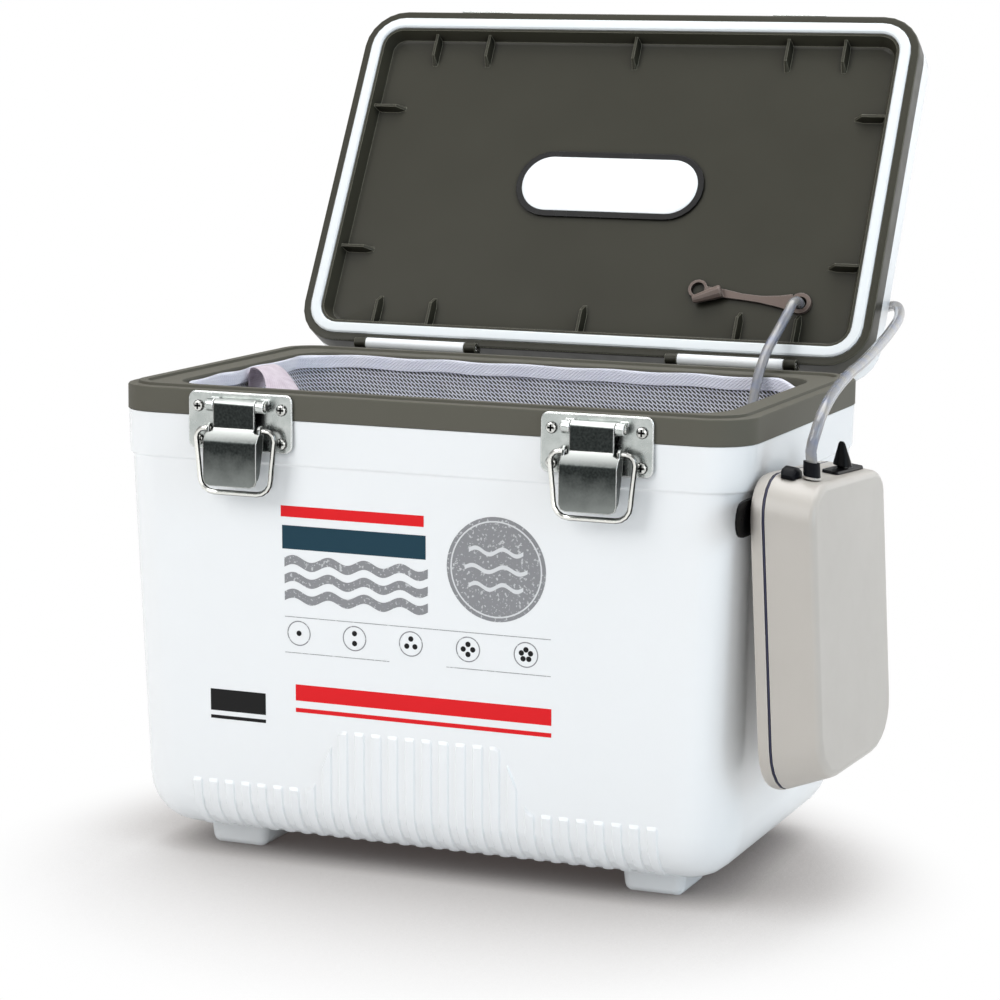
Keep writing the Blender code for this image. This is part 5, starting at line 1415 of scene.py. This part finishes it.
@dataclass
class Pump:
    """Battery air pump on its hanger."""

    def build(self, dresser: Dresser) -> None:
        """Finish the pump's solids.

        Args:
            dresser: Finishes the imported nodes.
        """
        dresser.dress_all(PUMP_ABS, "pump_back_shell", "pump_front_shell", "pump_nipple")
        dresser.dress("pump_seal", SEAL_RUBBER)
        dresser.dress("jack_plug", BLACK_RUBBER)
        dresser.dress_all(BLACK_PLASTIC, "switch_bezel", "switch_lever", "pump_hanger", "pump_head")
        dresser.dress("pump_motor", MOTOR_CAN)
        dresser.dress_all(CELL_JACKET, "cell_1", "cell_2")
        dresser.dress("cell_contacts", CONTACT)


@dataclass
class Studio:
    """Pale floor, soft lamps and the camera of the photograph."""

    eye: Triple = (0.521163, -1.406738, 0.3897)
    right: Triple = (0.92766, 0.37328, 0.01038)
    down: Triple = (0.06682, -0.1386, -0.98809)
    forward: Triple = (-0.3674, 0.91731, -0.15352)
    lens: float = 112.093
    # Share of the near paper that glows with the painted shadow in place of its lit shading
    glow: float = 0.85
    # Bright panels of the tent: the way to each, the nearness at which it starts and is full, and its
    # strength; a level way stands for an upright strip
    panels: tuple[tuple[Triple, Pair, float], ...] = (
        ((0.80, 0.58, 0.16), (0.45, 0.95), 1.5), ((-0.37, -0.40, 0.84), (0.86, 0.97), 1.1),
        ((0.36, -0.93, 0.0), (0.975, 0.985), 1.6))
    # Middle of the painted shadow's pool from the tub's middle, and its tones by how open the paper is
    pool: Triple = (0.01, -0.07, 0.0)
    shadow: tuple[tuple[str, Pair], ...] = (("dcdad9", (0.66, 0.88)), ("b4b0ae", (0.46, 0.66)),
                                            ("453f3d", (0.10, 0.46)))
    # Distances from that middle over which the paper runs into the white background
    fade: Pair = (0.165, 0.240)

    def camera(self) -> None:
        """Camera at the photograph's view."""
        data = bpy.data.cameras.new("camera")
        data.lens = self.lens
        data.sensor_width = 36.0
        data.clip_end = 50.0
        camera = bpy.data.objects.new("camera", data)
        columns = [Vector(self.right), -Vector(self.down), -Vector(self.forward)]
        camera.matrix_world = Matrix([[columns[0][row], columns[1][row], columns[2][row], self.eye[row]]
                                      for row in range(3)] + [[0, 0, 0, 1]])
        bpy.context.scene.collection.objects.link(camera)
        bpy.context.scene.camera = camera

    def lamp(self, name: str, spot: Triple, aim: Triple, size: Pair, watts: float,
             tint: str = "ffffff") -> None:
        """Add a soft box.

        Args:
            name: Its name.
            spot: Where it stands.
            aim: What it points at.
            size: Its width and height in metres.
            watts: Its power.
            tint: Hex colour of its light.
        """
        data = bpy.data.lights.new(name, "AREA")
        data.shape = "RECTANGLE"
        data.size, data.size_y = size
        data.energy = watts
        data.color = linear(tint)[:3]
        lamp = bpy.data.objects.new(name, data)
        lamp.location = spot
        lamp.rotation_euler = (Vector(aim) - Vector(spot)).to_track_quat("-Z", "Y").to_euler()
        bpy.context.scene.collection.objects.link(lamp)

    def rays(self, paint: Paint, *kinds: str) -> Any:
        """1 for rays of these kinds and 0 for all others.

        Args:
            paint: The tree that asks.
            *kinds: Camera, Glossy or Transmission.

        Returns:
            The share.
        """
        share: Any = 0.0
        for kind in kinds:
            share = paint.math("MAXIMUM", share, paint.new("LightPath", "Is %s Ray" % kind))
        return share

    def sky(self) -> None:
        """World that is white where the camera sees it, softer where it lights, and a graded tent in gloss.

        The tent is dim all round, with one bright panel to the right and behind, one high in front, an
        upright strip beside the camera, and a lighter band near the ground.
        """
        world = bpy.data.worlds.new("studio")
        world.use_nodes = True
        bpy.context.scene.world = world
        paint = Paint(world.node_tree)
        where = paint.new("TexCoord", "Generated")
        level = paint.new("VectorMath", 0, {0: where, 1: (1, 1, 0)}, operation="MULTIPLY")
        bearing = paint.new("VectorMath", 0, {0: level}, operation="NORMALIZE")
        bright: Any = 0.0
        for way, nearness, strength in self.panels:
            near = paint.facing(where if way[2] else bearing, Vector(way).normalized())
            bright = paint.math("ADD", bright, paint.between(near, 0.0, strength, nearness))
        band = paint.between(paint.axes("Generated")[2], 0.62, 0.16, (0.02, 0.55))
        tent = paint.math("ADD", band, bright)
        lit = paint.new("Mix", 0, {0: self.rays(paint, "Glossy"), 2: 0.42, 3: tent})
        strength = paint.new("Mix", 0, {0: self.rays(paint, "Camera", "Transmission"), 2: lit, 3: 1.0})
        feed(world.node_tree.nodes["Background"], {"Color": (1, 1, 1, 1), "Strength": strength})

    def floor(self) -> None:
        """White paper floor with a painted shadow near the object, mixed with its real shadow."""
        mesh = bpy.data.meshes.new("floor")
        half = 4.0
        mesh.from_pydata([(-half, -half, 0), (half, -half, 0), (half, half, 0), (-half, half, 0)], [],
                         [(0, 1, 2, 3)])
        paper = bpy.data.materials.new("white_studio_paper")
        paper.use_nodes = True
        paint = Paint(paper.node_tree)
        shader = paint.tree.nodes["Principled BSDF"]
        feed(shader, {"Base Color": (0.80, 0.80, 0.80, 1), "Roughness": 0.9, "Specular IOR Level": 0.0})
        # Painted shadow: the paper's tone darkens where the object closes it in
        under = paint.new("AmbientOcclusion", "AO", {"Distance": 0.30}, samples=12)
        white = (1, 1, 1, 1)
        tone: Any = white
        for dark, openness in self.shadow:
            tone = paint.blend(paint.between(under, 0.0, 1.0, openness), dark, tone)
        # Near the object the paper glows with a painted shadow, mixed with its lit shading; further off it
        # runs into the white background
        away = paint.new("VectorMath", "Value", {0: paint.new("NewGeometry", "Position"),
                                                 1: TUB_MIDDLE + Vector(self.pool)}, operation="DISTANCE")
        fade = paint.new("MapRange", "Result", {"Value": away, "From Min": self.fade[0],
                                                "From Max": self.fade[1]}, interpolation_type="SMOOTHSTEP")
        near, far = (paint.new("Emission", 0, {"Color": colour, "Strength": 1.0}) for colour in (tone, white))
        lit = paint.new("MixShader", 0, {0: self.glow, 1: shader.outputs[0], 2: near})
        faded = paint.new("MixShader", 0, {0: fade, 1: lit, 2: far})
        # The light that falls on the object still comes off plain paper
        seen = self.rays(paint, "Camera", "Glossy", "Transmission")
        feed(paint.tree.nodes["Material Output"],
             {"Surface": paint.new("MixShader", 0, {0: seen, 1: shader.outputs[0], 2: faded})})
        mesh.materials.append(paper)
        floor = bpy.data.objects.new("floor", mesh)
        bpy.context.scene.collection.objects.link(floor)

    def build(self) -> None:
        """Set up the camera, the floor and the light."""
        self.camera()
        self.sky()
        self.floor()
        self.lamp("soft_box_front_left", (-1.1, -1.9, 1.5), (0.0, 0.0, 0.12), (1.4, 1.4), 25.5)
        self.lamp("soft_box_above", (0.1, 0.35, 1.9), (0.0, 0.0, 0.1), (1.8, 1.5), 32.0)
        self.lamp("soft_box_right", (2.0, -0.7, 0.9), (0.0, 0.0, 0.12), (0.9, 1.3), 13.0, "dcf0ff")


def main() -> None:
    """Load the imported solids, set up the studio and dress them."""
    logging.basicConfig(level=logging.INFO, format="%(name)s: %(message)s")
    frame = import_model()
    bpy.context.scene.view_settings.view_transform = "Standard"
    dresser = Dresser(frame["nodes"])
    Studio().build()
    AirLine().build(dresser)
    Tub().build(dresser)
    Net().build()
    Lid().build(dresser)
    for side in Side:
        Latch(side).build(dresser)
        Hinge(side).build(dresser)
    Pump().build(dresser)


if __name__ == "__main__":
    main()
